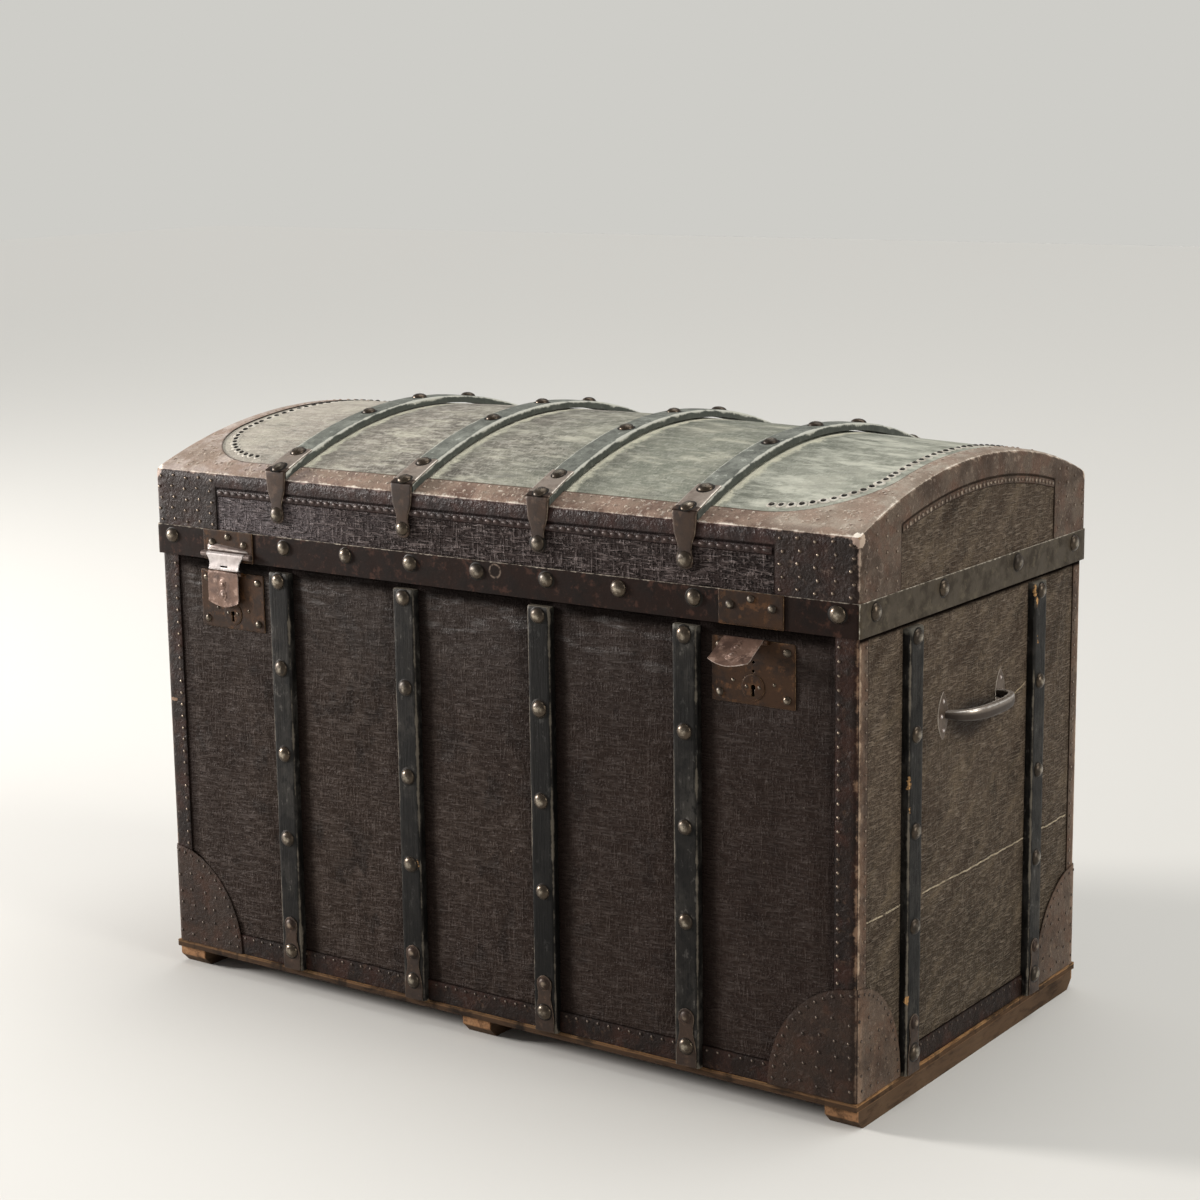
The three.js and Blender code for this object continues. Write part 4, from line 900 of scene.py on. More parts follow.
# lighter copy of the band for the ends, partly painted light
BAND_END = metal_look("band_sheet_end", (68, 60, 49), (220, 210, 194), (50, 43, 35), 0.42, 0.1, (88, 80, 66),
                      0.12, 1.2, 1.6)
NAIL = metal_look("nail_heads", (80, 70, 59), (176, 166, 150), (40, 34, 28), 0.26, 0.8, (56, 44, 34), 0.3,
                  1.2, 1.6)
DARK_NAIL = metal_look("dark_nails", (30, 27, 24), (96, 90, 82), (22, 20, 18), 0.36, 0.6)
TACK = metal_look("tacks", (78, 65, 56), (172, 156, 138), (54, 43, 36), 0.36, 0.5)
DULL_TACK = metal_look("dull_tacks", (52, 43, 37), (120, 106, 94), (37, 30, 26), 0.42, 0.4)
BEAD = metal_look("bead_tacks", (60, 47, 43), (150, 133, 125), (38, 29, 27), 0.38, 0.3, None, 0.25, 1.35, 1.7)
PALE_TACK = metal_look("pale_tacks", (162, 146, 131), (214, 202, 188), (110, 93, 82), 0.45, 0.2)
# pale rings round the dark nails on the dome: painted highlight
PALE_RING = metal_look("pale_rings", (205, 200, 188), (232, 228, 218), (160, 152, 140), 0.5, 0.1)
BRASS = metal_look("lock_brass", (56, 38, 25), (164, 134, 102), (33, 23, 17), 0.4, 0.25, (84, 56, 33), 0.13,
                   1.2, 1.6)
FLAP = metal_look("flap_sheet", (114, 90, 78), (226, 210, 200), (58, 39, 31), 0.36, 0.35, (158, 132, 118),
                  0.28, 1.25, 1.65)
STEEL = metal_look("worn_steel", (150, 136, 129), (244, 240, 238), (112, 98, 91), 0.3, 0.5, (92, 75, 66),
                   0.45)
COLLAR = metal_look("hasp_collar_steel", (112, 98, 92), (200, 190, 184), (78, 65, 59), 0.34, 0.45,
                    (66, 50, 43), 0.35)
# lighter copy of the steel for the hasp's sheet and lip, partly painted highlight
BRIGHT = metal_look("bright_steel", (186, 178, 175), (250, 247, 245), (150, 140, 136), 0.32, 0.4,
                    (128, 114, 108), 0.4)
DARK_STEEL = metal_look("dark_steel", (62, 54, 49), (160, 150, 140), (44, 38, 35), 0.45, 0.7)
# the handle's bow gets painted shade below 386 mm
GRIP = metal_look("handle_sheet", (140, 129, 119), (232, 226, 218), (112, 100, 91), 0.26, 0.6, None, 0.4,
                  0.95, 1.35, (386, (52, 45, 41)))
PLATE = metal_look("handle_plates", (96, 83, 72), (206, 196, 184), (64, 53, 45), 0.36, 0.5, (60, 47, 38), 0.3)
CLIP_METAL = metal_look("clip_metal", (62, 49, 41), (158, 142, 124), (40, 31, 26), 0.38, 0.35, (80, 62, 50),
                        0.2, 1.2, 1.6)
DOME_CLIP = metal_look("dome_clip_metal", (148, 137, 127), (224, 217, 206), (110, 98, 89), 0.36, 0.35,
                       (158, 144, 132), 0.25, 1.1, 1.5)
# near-black finish for the sheet behind the keyhole: painted shade for the hollow inside the lock
keyhole = Look("lock_inside", (6, 5, 4), 0.9, specular=0.0)
keyhole.layer(keyhole.noise(6).step(0.4, 0.6), (11, 9, 7))
HOLLOW = keyhole.done((keyhole.noise(3, shift=1), 0.1))
BARE_WOOD = wood_look("runner_wood", (146, 108, 76), (100, 72, 51), (168, 132, 96), (1, 8, 1), None,
                      (66, 54, 43), 0.6)
BASE_PLY = wood_look("base_ply", (150, 112, 74), (56, 41, 30), (188, 150, 106), (8, 8, 1), 2.5)
INNER_PLY = wood_look("inner_ply", (158, 130, 98), (128, 100, 73), (176, 148, 114), (9, 9, 0.8), dirty=0.22)


# Case: canvas, bindings, caps
def pucker(face, a, b):
    """Canvas standing off in soft folds near the top of each bay, flat beside slats and edges."""
    centres, half = (SLATS, CASE_X) if is_long(face) else (END_SLATS, CASE_Y)
    clear = min(min(abs(a - c) for c in centres) - SLAT_WIDTH / 2 - 1, half - 32 - abs(a))
    away = held(clear / 18) * held((494 - b) / 12) * held((b - 60) / 18)
    if face == "front":
        for centre in LOCKS:
            away *= held((math.hypot((a - centre) / 1.3, b - 448) - 42) / 14)
    away = away * away * (3 - 2 * away)
    shift = {"front": 0.0, "back": 5.0, "left": 9.0, "right": 14.0}[face]
    top = held((b - 395) / 85) ** 2
    fold, ripple, wave = (noise.noise(Vector((a / wide, b / tall, start + shift)))
                          for wide, tall, start in ((52, 19, 3.1), (20, 44, 6.1), (80, 110, 11.7)))
    return away * (top * (1.6 + 2.6 * fold + 1.0 * ripple) + 1.2 + 1.4 * wave + 0.25 * ripple)


case_canvas = skin("case_canvas", CASE, SIDES, CASE_FOOT, whole, 0.0, 0.8, 5.0, bulge=pucker)
coat(number_ends(case_canvas, CASE_X - 1.5), CANVAS, END_CANVAS)
finish(case_canvas, "case", replaces=("body_canvas",))


def tack_spots(shell, face, places, out):
    """Spots on the outside of a shell, with the way they face."""
    found = []
    for a, b in places:
        here = shell.at(shell.place(face, a, b), out)
        right = shell.at(shell.place(face, a + 1, b), out) - here
        up = shell.at(shell.place(face, a, b + 1), out) - here
        found.append((here, right.cross(up) * (-1 if face in ("back", "left") else 1)))
    return found


def row(low, high, pitch, seed, shake=0.5):
    """Places along a row of tacks, a little uneven."""
    chance = random.Random(seed)
    count = max(1, round((high - low) / pitch))
    return [low + (high - low) * i / count + chance.uniform(-shake, shake) for i in range(count + 1)]


bottom = skin("bottom_binding", CASE, SIDES, CASE_FOOT, lambda face, a, b: BOTTOM_TOP - b, LAID_ON,
              BINDING, 3.0)
spots = []
for seed, (face, half) in enumerate(zip(SIDES, (352, 352, 142, 142))):
    spots += tack_spots(CASE, face, [(a, BOTTOM_ROW) for a in row(-half, half, 13.5, seed)], TACK_FOOT)
tacks = nails("bottom_tacks", spots, 1.9, 1.2, 8, DULL_TACK, 3)
bottom = joined("bottom_binding", [coat(bottom, LEATHER), tacks])
finish(bottom, "case", ("bottom_binding",))


def case_corner(long_side, sy, end, sx):
    """Binding and bottom cap of one upright corner of the case, between a long side and an end."""
    # for each face: which way the corner lies, where the binding starts, the cap's corner and its reach
    sides = {long_side: (sx, 431.0, 458.5, 102.0),
             end: (sy, 228.0, 249.5, 90.7 if long_side == "front" else 101.7)}

    def in_binding(face, a, b):
        way, start = sides[face][:2]
        return min(way * a - start, b - ABOVE_BOTTOM + 9)

    def in_cap(face, a, b):
        way, _, edge, wide = sides[face]
        return (1 - math.hypot((edge - way * a) / wide, (b - CASE_FOOT) / CAP_TALL)) * 100

    name = f"corner_binding_{long_side}_{end}"
    binding = skin(name, CASE, sides, ABOVE_BOTTOM, in_binding, LAID_ON, BINDING, 3.0, ridge=9.0)
    spots = []
    for seed, (side, (way, start, _, _)) in zip((5, 7), sides.items()):
        places = [(way * (start + 5), b) for b in row(150, 498, 14, sx + seed * sy)]
        spots += tack_spots(CASE, side, places, TACK_FOOT)
    tacks = nails("corner_tacks", spots, 2.0, 1.4, 8, TACK, 5)
    coat(number_ends(binding, CASE_X + 0.6), LEATHER, CORNER_LEATHER)
    finish(joined(name, [binding, tacks]), "case", (name,))

    name = f"bottom_cap_{long_side}_{end}"
    cap = skin(name, CASE, sides, CASE_FOOT, in_cap, 3.0, BINDING, 3.0, edge_dirt_and_shade=0.5)
    spots = []
    chance = random.Random(100 + sx + 3 * sy)
    for side, (way, _, edge, wide) in sides.items():
        angles = [math.radians(4 + 82 * i / 13) for i in range(14)]
        places = [((wide - 6) * math.cos(t), (CAP_TALL - 6) * math.sin(t)) for t in angles]
        for across in range(5):
            for up in range(6):
                a = 8 + 18 * across + chance.uniform(-3, 3)
                b = 10 + 18 * up + chance.uniform(-3, 3)
                if math.hypot(a / wide, b / CAP_TALL) < 0.84:
                    places.append((a, b))
        spots += tack_spots(CASE, side, [(way * (edge - a), CASE_FOOT + b) for a, b in places], 2.9)
    tacks = nails("cap_tacks", spots, 1.9, 1.2, 8, DULL_TACK, 7)
    coat(number_ends(cap, CASE_X + 2), PATCH_LEATHER, CORNER_LEATHER)
    finish(joined(name, [cap, tacks]), "case", (name,))


for long_side, sy in (("front", -1), ("back", 1)):
    for end, sx in (("left", -1), ("right", 1)):
        case_corner(long_side, sy, end, sx)


# Upright slats with their nails and foot clips
def slat_profile(thick):
    """Section of a slat with eased outer corners; back corners have no outward height."""
    half, ease = SLAT_WIDTH / 2, 2.0
    return [(-half, 0, 0.1), (-half, thick - ease, 0.7), (-half + 0.5 * ease, thick - 0.3 * ease, 1.0),
            (-half + 1.3 * ease, thick, 0.7), (-half + 5, thick, 0.0), (half - 5, thick, 0.0),
            (half - 1.3 * ease, thick, 0.7), (half - 0.5 * ease, thick - 0.3 * ease, 1.0),
            (half, thick - ease, 0.7), (half, 0, 0.1)]


def slat_bar(name, origin, across, outward, seed):
    """The bar of an upright slat, with small dents; it lies on the bottom binding at its foot."""
    profile = slat_profile(SLAT_THICK)
    stops = ((CASE_FOOT, LAID_ON, 1, 1), (ABOVE_BOTTOM, LAID_ON, 1, 1), (53.6, 0, 1, 1), (484, 0, 1, 1),
             (487, 0, 1, 0.97), (SLAT_TOP, 0, 0.97, 0.85))  # height, back, width share, thickness share
    levels = []
    for low, high in zip(stops, stops[1:]):
        steps = max(1, round((high[0] - low[0]) / 7)) if low[1] == high[1] else 1
        levels += [[u + (v - u) * (i / steps) for u, v in zip(low, high)] for i in range(steps)]
    levels.append(stops[-1])
    verts, wear_and_shading = [], []
    for number, (z, back, wide, deep) in enumerate(levels):
        ends = number in (0, len(levels) - 1)
        for a, n, wear_and_shading_value in profile:
            wobble = noise.noise(Vector((a / 4, z / 30, seed))) * 0.35 if n > 0 and not ends else 0.0
            dent = noise.noise(Vector((a / 5, z / 9, seed + 40))) + 0.38
            dent = min(0.0, dent) * 2.2 if wear_and_shading_value > 0.6 else 0.0
            height = back if n == 0 else n * deep + wobble * 0.5 + dent
            spot = origin + across * (a * wide + math.copysign(1, a) * wobble)
            verts.append(spot + outward * height + Vector((0, 0, z)))
            wear_and_shading.append(1.0 if ends else wear_and_shading_value)
    return closed_bar(name, verts, wear_and_shading, len(profile), 35)


def upright_slat(name, origin, outward, seed):
    """A slat on the case with domed nails and a pointed metal clip at its foot."""
    origin, outward = Vector(origin), Vector(outward)
    across = Vector((0, 0, 1)).cross(outward)

    def spot(a, b, h):
        return origin + across * a + outward * (SLAT_THICK + h) + Vector((0, 0, b))

    bar = slat_bar(name, origin, across, outward, seed)
    clip = [(-12, 29.3), (12, 29.3), (12, 46), (10.5, 55), (8, 66), (8.2, 73), (9.5, 80), (8.8, 86), (5, 90),
            (0, 91.6), (-5, 90), (-8.8, 86), (-9.5, 80), (-8.2, 73), (-8, 66), (-10.5, 55), (-12, 46)]
    metal = plate("clip", clip, spot, 1.2, 0.4)
    knob = nails("knob", [(spot(0, CLIP_KNOB, 1.0), outward)], 6.6, 3.4, 20, CLIP_METAL, seed, 0.03)
    studs = [(spot(0, z, -0.1), outward) for z in SLAT_NAILS]
    studs.append((spot(0, CLIP_NAIL, 1.0), outward))
    heads = nails("heads", studs, 8.6, 4.7, 24, NAIL, seed)
    rings = nails("rings", studs, 10.0, 0.7, 20, DARK_NAIL, seed, 0.1)
    parts = [coat(bar, SLAT_PAINT), coat(metal, CLIP_METAL), knob, heads, rings]
    finish(joined(name, parts), "case", (name,))


for number, x in enumerate(SLATS, 1):
    upright_slat(f"front_slat_{number}", (x, -ON_CASE_Y, 0), (0, -1, 0), 10 + number)
    upright_slat(f"back_slat_{number}", (x, ON_CASE_Y, 0), (0, 1, 0), 20 + number)
for side, sx in (("left", -1), ("right", 1)):
    for place, y in zip(("front", "back"), END_SLATS):
        upright_slat(f"{side}_slat_{place}", (sx * ON_CASE_X, y, 0), (sx, 0, 0), 30 + sx + int(y) % 7)


# Lid: canvas, leather, band
lid_canvas = skin("lid_canvas", LID, (*SIDES, "top"), LID_FOOT, whole, 0.0, 0.8, 7.0)
coat(number_ends(lid_canvas, LID_X - 1.5, 2), LID_CANVAS, DOME_CANVAS, END_CANVAS)
finish(lid_canvas, "lid", ("lid_canvas",))


def lid_leather(face, a, b):
    """How far a place lies inside the leather edging of the lid."""
    if is_long(face):
        patch = abs(a) - PATCH_X
        low = b - 512.0
        if b < ABOVE_BAND + 30 and patch < 22 and low < 22:
            patch = 22 - math.hypot(22 - patch, 22 - low)
        return max(patch, b - 576.0)
    if face in ("left", "right"):
        return max(abs(a) - PATCH_Y, b - 567.0)
    x, y = abs(a), abs(b)
    inside = max(x - ROUND_X - ROUND, y - ROUND_Y - ROUND)
    if x > ROUND_X and y > ROUND_Y:
        inside = max(inside, math.hypot(x - ROUND_X, y - ROUND_Y) - ROUND)
    return inside


edging = skin("lid_edge_binding", LID, (*SIDES, "top"), ABOVE_BAND, lid_leather, LAID_ON, BINDING, 3.2,
              ridge=8.0)
for polygon in edging.data.polygons:
    x, y = polygon.center.x / MM, polygon.center.y / MM
    if not polygon.material_index and abs(y) > LID_Y - 0.5 and abs(x) < PATCH_X:
        polygon.material_index = 2
coat(number_ends(edging, LID_X - 0.5, 3), LID_PATCH, DOME_LEATHER, STRIP_LEATHER, END_LEATHER)


def in_welt(face, a, b):
    """How far a place lies inside the narrow welt under the strips, between the corner patches."""
    if is_long(face):
        return min(4.5 - abs(b - WELT_FRONT), PATCH_X - 1 - abs(a))
    return min(4.4 - abs(b - WELT_END), PATCH_Y - 1 - abs(a))


def welt_swell(face, a, b):
    """The round of the welt."""
    middle = WELT_FRONT if is_long(face) else WELT_END
    return 0.9 * max(0.0, 1 - ((b - middle) / 4.4) ** 2) ** 0.5


welt = skin("welt", LID, SIDES, ABOVE_BAND, in_welt, 0.9, 0.8, 2.2, bulge=welt_swell)
coat(number_ends(welt, LID_X - 0.5), STRIP_LEATHER, END_LEATHER)

small, dark, pale, beads, end_beads = [], [], [], [], []


def tack_top(tacks, a, b, out=TACK_FOOT):
    """A tack in the leather on top of the lid."""
    tacks += tack_spots(LID, "top", [(a, b)], out)


for seed, face in enumerate(("front", "back")):
    beads += tack_spots(LID, face, [(a, WELT_FRONT) for a in row(-358, 358, 10.5, seed, 0.8)], 1.5)
    small += tack_spots(LID, face, [(sx * (372 + 19.5 * i + (j % 2) * 3), 534 + 12.5 * j + (i % 2) * 2)
                                    for sx in (-1, 1) for i in range(5) for j in range(5)], TACK_FOOT)
for seed, face in enumerate(("left", "right"), 3):
    end_beads += tack_spots(LID, face, [(a, WELT_END) for a in row(-162, 162, 8, seed)], 1.5)
    small += tack_spots(LID, face, [(sy * (180 + 20 * i), 535 + 15 * j + (i % 2) * 4)
                                    for sy in (-1, 1) for i in range(4) for j in range(4)], TACK_FOOT)
chance = random.Random(41)
for sy in (-1, 1):
    for offset in (229, 240):
        for a in row(-330, 330, 13, 7 + sy + offset, 1.5):
            tack_top(pale, a, sy * offset)
    for sx in (-1, 1):
        for b in row(-118, 118, 13, 11 + sx, 1.0):
            tack_top(pale, sx * 441, b)
        placed = 0
        while placed < 30:
            a, b = chance.uniform(345, 450), chance.uniform(134, 242)
            if lid_leather("top", a, b) > 6:
                tack_top(pale, sx * a, sy * b)
                placed += 1
        for i in range(14):
            angle = math.radians(-2 + 90 * i / 13)
            across, along = (ROUND - 14) * math.cos(angle), (ROUND - 14) * math.sin(angle)
            tack_top(dark, sx * (ROUND_X + across), sy * (ROUND_Y + along), 0.0)
for sx in (-1, 1):
    for b in row(-112, 112, 13.5, 17 + sx):
        tack_top(dark, sx * (ROUND_X + ROUND - 14), b, 0.0)
edging = joined("lid_edge_binding", [edging, welt, nails("edge_tacks", small, 2.0, 1.3, 8, TACK, 9, 0.15),
                                     nails("bead_tacks", beads, 2.5, 1.5, 12, BEAD, 10, 0.15, 1.9),
                                     nails("end_beads", end_beads, 2.8, 1.5, 10, TACK, 14, 0.3),
                                     nails("dome_tacks", pale, 1.9, 1.2, 8, PALE_TACK, 11, 0.2),
                                     nails("dark_nails", dark, 3.3, 2.3, 12, DARK_NAIL, 12, 0.1),
                                     nails("pale_rings", dark, 5.6, 0.9, 14, PALE_RING, 13, 0.25)])
finish(edging, "lid", ("lid_edge_binding",))


def in_band(face, a, b):
    """The band laps down over the case; at the back, over the hinges, it ends at the foot of the lid."""
    return b - LID_FOOT if face == "back" else whole(face, a, b)


band = skin("lid_band", BAND_SHELL, SIDES, BAND_LOW, in_band, 0.0, BINDING, 4.0)
# painted highlight along the band's top edge
for wear_and_shading_value, vertex in zip(band.data.attributes["wear_and_shading"].data, band.data.vertices):
    wear_and_shading_value.value = max(wear_and_shading_value.value, 1 - (BAND_HIGH - vertex.co.z / MM) / 3)
studs = []
for face, places in (("front", (-436, -266, -176, -86, 4, 94, 184, 274, 436)),
                     ("back", (-436, -274, -94, -4, 86, 266, 436)),
                     ("left", (-221, -83, 83, 221)), ("right", (-221, -83, 83, 221))):
    studs += tack_spots(BAND_SHELL, face, [(a, STUD_LEVEL) for a in places], -0.1)
coat(number_ends(band, BAND_X - 1.5), BAND, BAND_END)
band = joined("lid_band", [band, nails("band_nails", studs, 8.8, 4.8, 24, NAIL, 21, 0.08),
                           nails("band_rings", studs, 10.2, 0.7, 20, DARK_NAIL, 22, 0.1)])
finish(band, "lid", ("lid_band",))


# Dome slats and clamps
def dome_at(x, y, above):
    """Point above the dome canvas, and the way the dome faces there."""
    slope = arch(x, y + 0.5) - arch(x, y - 0.5)
    facing = Vector((0, -slope, 1)).normalized()
    return Vector((x, y, LID_EDGE + arch(x, y))) + facing * above, facing


def dome_clamp(x, sy):
    """A metal clamp over one end of a dome slat, down the side of the lid to a point."""
    side_y = 252.0
    path = []
    for i in range(8):
        point, facing = dome_at(x, sy * (203 + i * 6.4), 9.9)
        path.append((point, facing, 13.8 + 0.15 * i))
    point, facing = dome_at(x, sy * 249.3, 9.9)
    for y, z, turned_to, half in ((250.9, point.z + 0.1, facing + Vector((0, sy * 0.25, 0)), 14.4),
                                  (side_y, point.z - 0.9, Vector((0, sy, 0.7)), 14.4),
                                  (252.25, point.z - 2.6, Vector((0, sy, 0.1)), 14.2)):
        path.append((Vector((x, sy * y, z)), turned_to, half))
    for z, half in ((592, 13.6), (586, 13.0), (580, 12.4), (574, 10.2), (569, 8.4), (564, 7.6), (559, 8.2),
                    (556, 9.2), (552, 9.4), (548, 8.6), (545.5, 6.6), (544, 3.4)):
        path.append((Vector((x, sy * side_y, z)), Vector((0, sy, 0)), half))
    flat = [(-1, -0.6, 0.2), (-1, 0.7, 1.0), (-0.93, 1.2, 0.8), (-0.8, 1.3, 0.0), (0.8, 1.3, 0.0),
            (0.93, 1.2, 0.8), (1, 0.7, 1.0), (1, -0.6, 0.2)]
    clamp = sweep("clamp", [(p, (1, 0, 0), f.normalized(), half, 1.0) for p, f, half in path], flat, 35)
    for polygon in clamp.data.polygons:
        polygon.material_index = int(abs(polygon.center.y) / MM < 248)
    return coat(clamp, CLIP_METAL, DOME_CLIP)


def dome_slat(name, x, seed):
    """A slat over the dome with a clamp at each end and seven domed nails."""
    stations = []
    for i in range(73):
        y = -DOME_SLAT_END + 2 * DOME_SLAT_END * i / 72
        point, facing = dome_at(x, y, 1.8)
        aside = Vector((noise.noise(Vector((x, y / 90, 2))) * 0.8, 0, 0))
        lift = noise.noise(Vector((x / 50, y / 60, 4))) * 0.3
        stations.append((point + aside, (1, 0, 0), facing, 1.0, 1.0 + lift * 0.06))
    parts = [coat(sweep(name, stations, slat_profile(DOME_SLAT_THICK), 35), DOME_PAINT)]
    heads = []
    for sy in (-1, 1):
        parts.append(dome_clamp(x, sy))
        heads.append((Vector((x, sy * 252.9, 553.6)), (0, sy, 0)))
        heads += [dome_at(x, sy * y, above) for y, above in ((242, 11.1), (210, 11.1), (90, 9.8))]
    heads.append(dome_at(x, 0, 9.8))
    parts.append(nails("heads", heads, 8.0, 4.4, 22, NAIL, 50 + seed, 0.1))
    parts.append(nails("rims", heads, 9.6, 0.7, 20, DARK_NAIL, 60 + seed, 0.1))
    finish(joined(name, parts), "lid", (name,))


for number, x in enumerate(SLATS, 1):
    dome_slat(f"dome_slat_{number}", x, number)


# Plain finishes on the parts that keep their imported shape
def dress(material, *names):
    """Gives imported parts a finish."""
    for name in names:
        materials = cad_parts[name].data.materials
        materials.clear()
        materials.append(material)


dress(BARE_WOOD, "runner_left", "runner_middle", "runner_right")
dress(BASE_PLY, "base_board")
dress(INNER_PLY, "front_board", "back_board", "left_end_board", "right_end_board", "lid_front_board",
      "lid_back_board", "lid_left_board", "lid_right_board", "lid_dome_panel")
for part in ("hinge_lower", "hinge_upper", "hinge_pin"):
    dress(DARK_STEEL, part + "_left", part + "_right")
dress(STEEL, "lock_bolt_left", "lock_bolt_right")

for name, body, out_y, heights in (("lower", "case", 248.9, (470, 489)), ("upper", "lid", 253.4, (518,))):
    spots = [((centre + a, out_y, z), (0, 1, 0)) for centre in HINGES for a in (-19, 0, 19) for z in heights]
    finish(nails(f"hinge_rivets_{name}", spots, 3.0, 1.4, 14, DARK_NAIL, 75, 0.1), body)


# Locks, latch flaps, hasp and hasp plates
def on_front(face_y):
    """Places on a sheet that faces the front, with its back at face_y."""
    return lambda a, b, h: Vector((a, face_y - h, b))


def heads_at(y, *places):
    """Spots for nails that face the front, standing at y."""
    return [(Vector((a, y, b)), (0, -1, 0)) for a, b in places]


def block(name, x0, x1, y0, y1, z0, z1):
    """A small block with eased edges, from y0 at its front to y1 at its back."""
    outline = rounded_box(x0, x1, z0, z1, min(1.2, (z1 - z0) / 3), 2)
    return plate(name, outline, on_front(y1), y1 - y0, 0.4)


def lock(name, centre, latch_centre):
    """A plate with its keyhole disc, the case behind it and the knuckles and pin of the latch flap."""
    face, key, knuckle = LOCK_BACK, KEYHOLE, 5
    turns = [math.radians(v) for v in range(-40, 221, 26)]
    bow = [(centre + 3.0 * math.cos(t), key + 3.0 * math.sin(t)) for t in turns]
    keyhole = bow + [(centre + a, key - b) for a, b in ((-1.6, 2.2), (-2.1, 9.2), (2.1, 9.2), (1.6, 2.2))]
    catches = [ellipse(centre, z, 1.6, 1.6, 12) for z in (458.5, 449.5)]
    outline = rounded_box(centre - LOCK_HALF, centre + LOCK_HALF, LOCK_LOW, LOCK_HIGH, 1.5, 3)
    front = plate(name, outline, on_front(face + 1.5), 1.5, 0.4, [keyhole, *catches])
    disc = plate("disc", ellipse(centre, key, 13, 13, 36), on_front(face + 0.1), 0.9, 0.35, [keyhole])
    case = block("case", centre - 28, centre + 28, -246.6, -235.6, 421, 459)
    # a near-black sheet behind the keyhole and catches: painted shade for the hollow inside the lock
    dark = plate("dark", rounded_box(centre - 6, centre + 6, 421, 462, 1, 2), on_front(face + 1.6), 0.25, 0.1)
    parts = [coat(front, BRASS), coat(disc, BRASS), coat(case, DARK_STEEL), coat(dark, HOLLOW)]
    for x0 in (latch_centre - 28, latch_centre + 28 - knuckle):
        parts.append(coat(rod("knuckle", x0, x0 + knuckle, LATCH_AXIS, LATCH_ROLL), BRASS))
        parts.append(coat(block("web", x0, x0 + knuckle, LATCH_AXIS[0], face + 0.1, 477.5, LOCK_HIGH), BRASS))
    parts.append(coat(rod("pin", latch_centre - 24, latch_centre + 24, LATCH_AXIS, 1.1, 12), DARK_STEEL))
    corners = heads_at(face + 0.1, *((centre + a, b) for a in (-38.5, 38.5) for b in (425, 472)))
    parts.append(nails("corners", corners, 4.6, 2.6, 18, NAIL, 71, 0.12))
    screws = heads_at(face - 0.5, (centre - 7.2, key + 0.5), (centre + 7.4, key + 0.5))
    rivets = heads_at(face + 0.1, (centre - 23, key + 5), (centre + 24, key + 5))
    parts.append(nails("screws", screws + rivets, 2.1, 1.1, 12, NAIL, 72, 0.1))
    finish(joined(name, parts), "case", (name,))


def rolled(a, s, radius):
    """Place and facing on the part of a sheet that is rolled round its pin, s up from its foot."""
    facing = Vector((0, -math.cos(s / radius), -math.sin(s / radius)))
    return facing * radius + Vector((a, 0, 0)), facing


def latch(name, centre, lift):
    """A flap of sheet rolled round its pin, with a pointed foot; lift turns it up from the plate."""
    half, drop = LATCH_HALF, 39.0
    axis = Vector((centre, *LATCH_AXIS))
    turn = Matrix.Rotation(-math.radians(lift), 3, "X")

    def surface(a, s):
        point, facing = rolled(a, min(s, 0), LATCH_ROLL)
        if s >= 0:
            share = abs(a) / half
            sag = 0.55 * math.sin(s / drop * math.pi) * (1 - 0.5 * share)
            sag += 1.1 * max(0.0, (s - drop + 6) / 6) * share ** 2
            wave = 0.35 * noise.noise(Vector((a / 12, s / 12, centre)))
            point = Vector((a, -LATCH_ROLL - sag - wave, -s * (drop - 6 * share ** 1.7) / drop))
        return turn @ (point - facing * 1.3) + axis, turn @ facing

    across = [-half, -22.1] + [v * 2.0 for v in range(-10, 11)] + [22.1, half]
    along = [-7.4, -6.2, -5.0, -3.8, -2.6, -1.3] + [v * 1.5 for v in range(26)] + [38.3, drop]
    roll = rod("roll", centre - half, centre + half, LATCH_AXIS, 2.45)
    for vertex in roll.data.vertices:
        vertex.co = turn @ (vertex.co - axis * MM) + axis * MM
    parts = [coat(bent_sheet(name, across, along, surface, 1.3), FLAP), coat(roll, FLAP)]
    studs = [(spot + facing * 1.3, facing) for spot, facing in (surface(0.0, 13), surface(0.0, 25))]
    parts.append(nails("studs", studs, 3.1, 1.5, 16, FLAP, 73, 0.1))
    rings = [(spot - facing * 0.2, facing) for spot, facing in studs]
    parts.append(nails("rings", rings, 6.4, 0.8, 20, FLAP, 74, 0.1))
    finish(joined(name, parts), name, (name,))


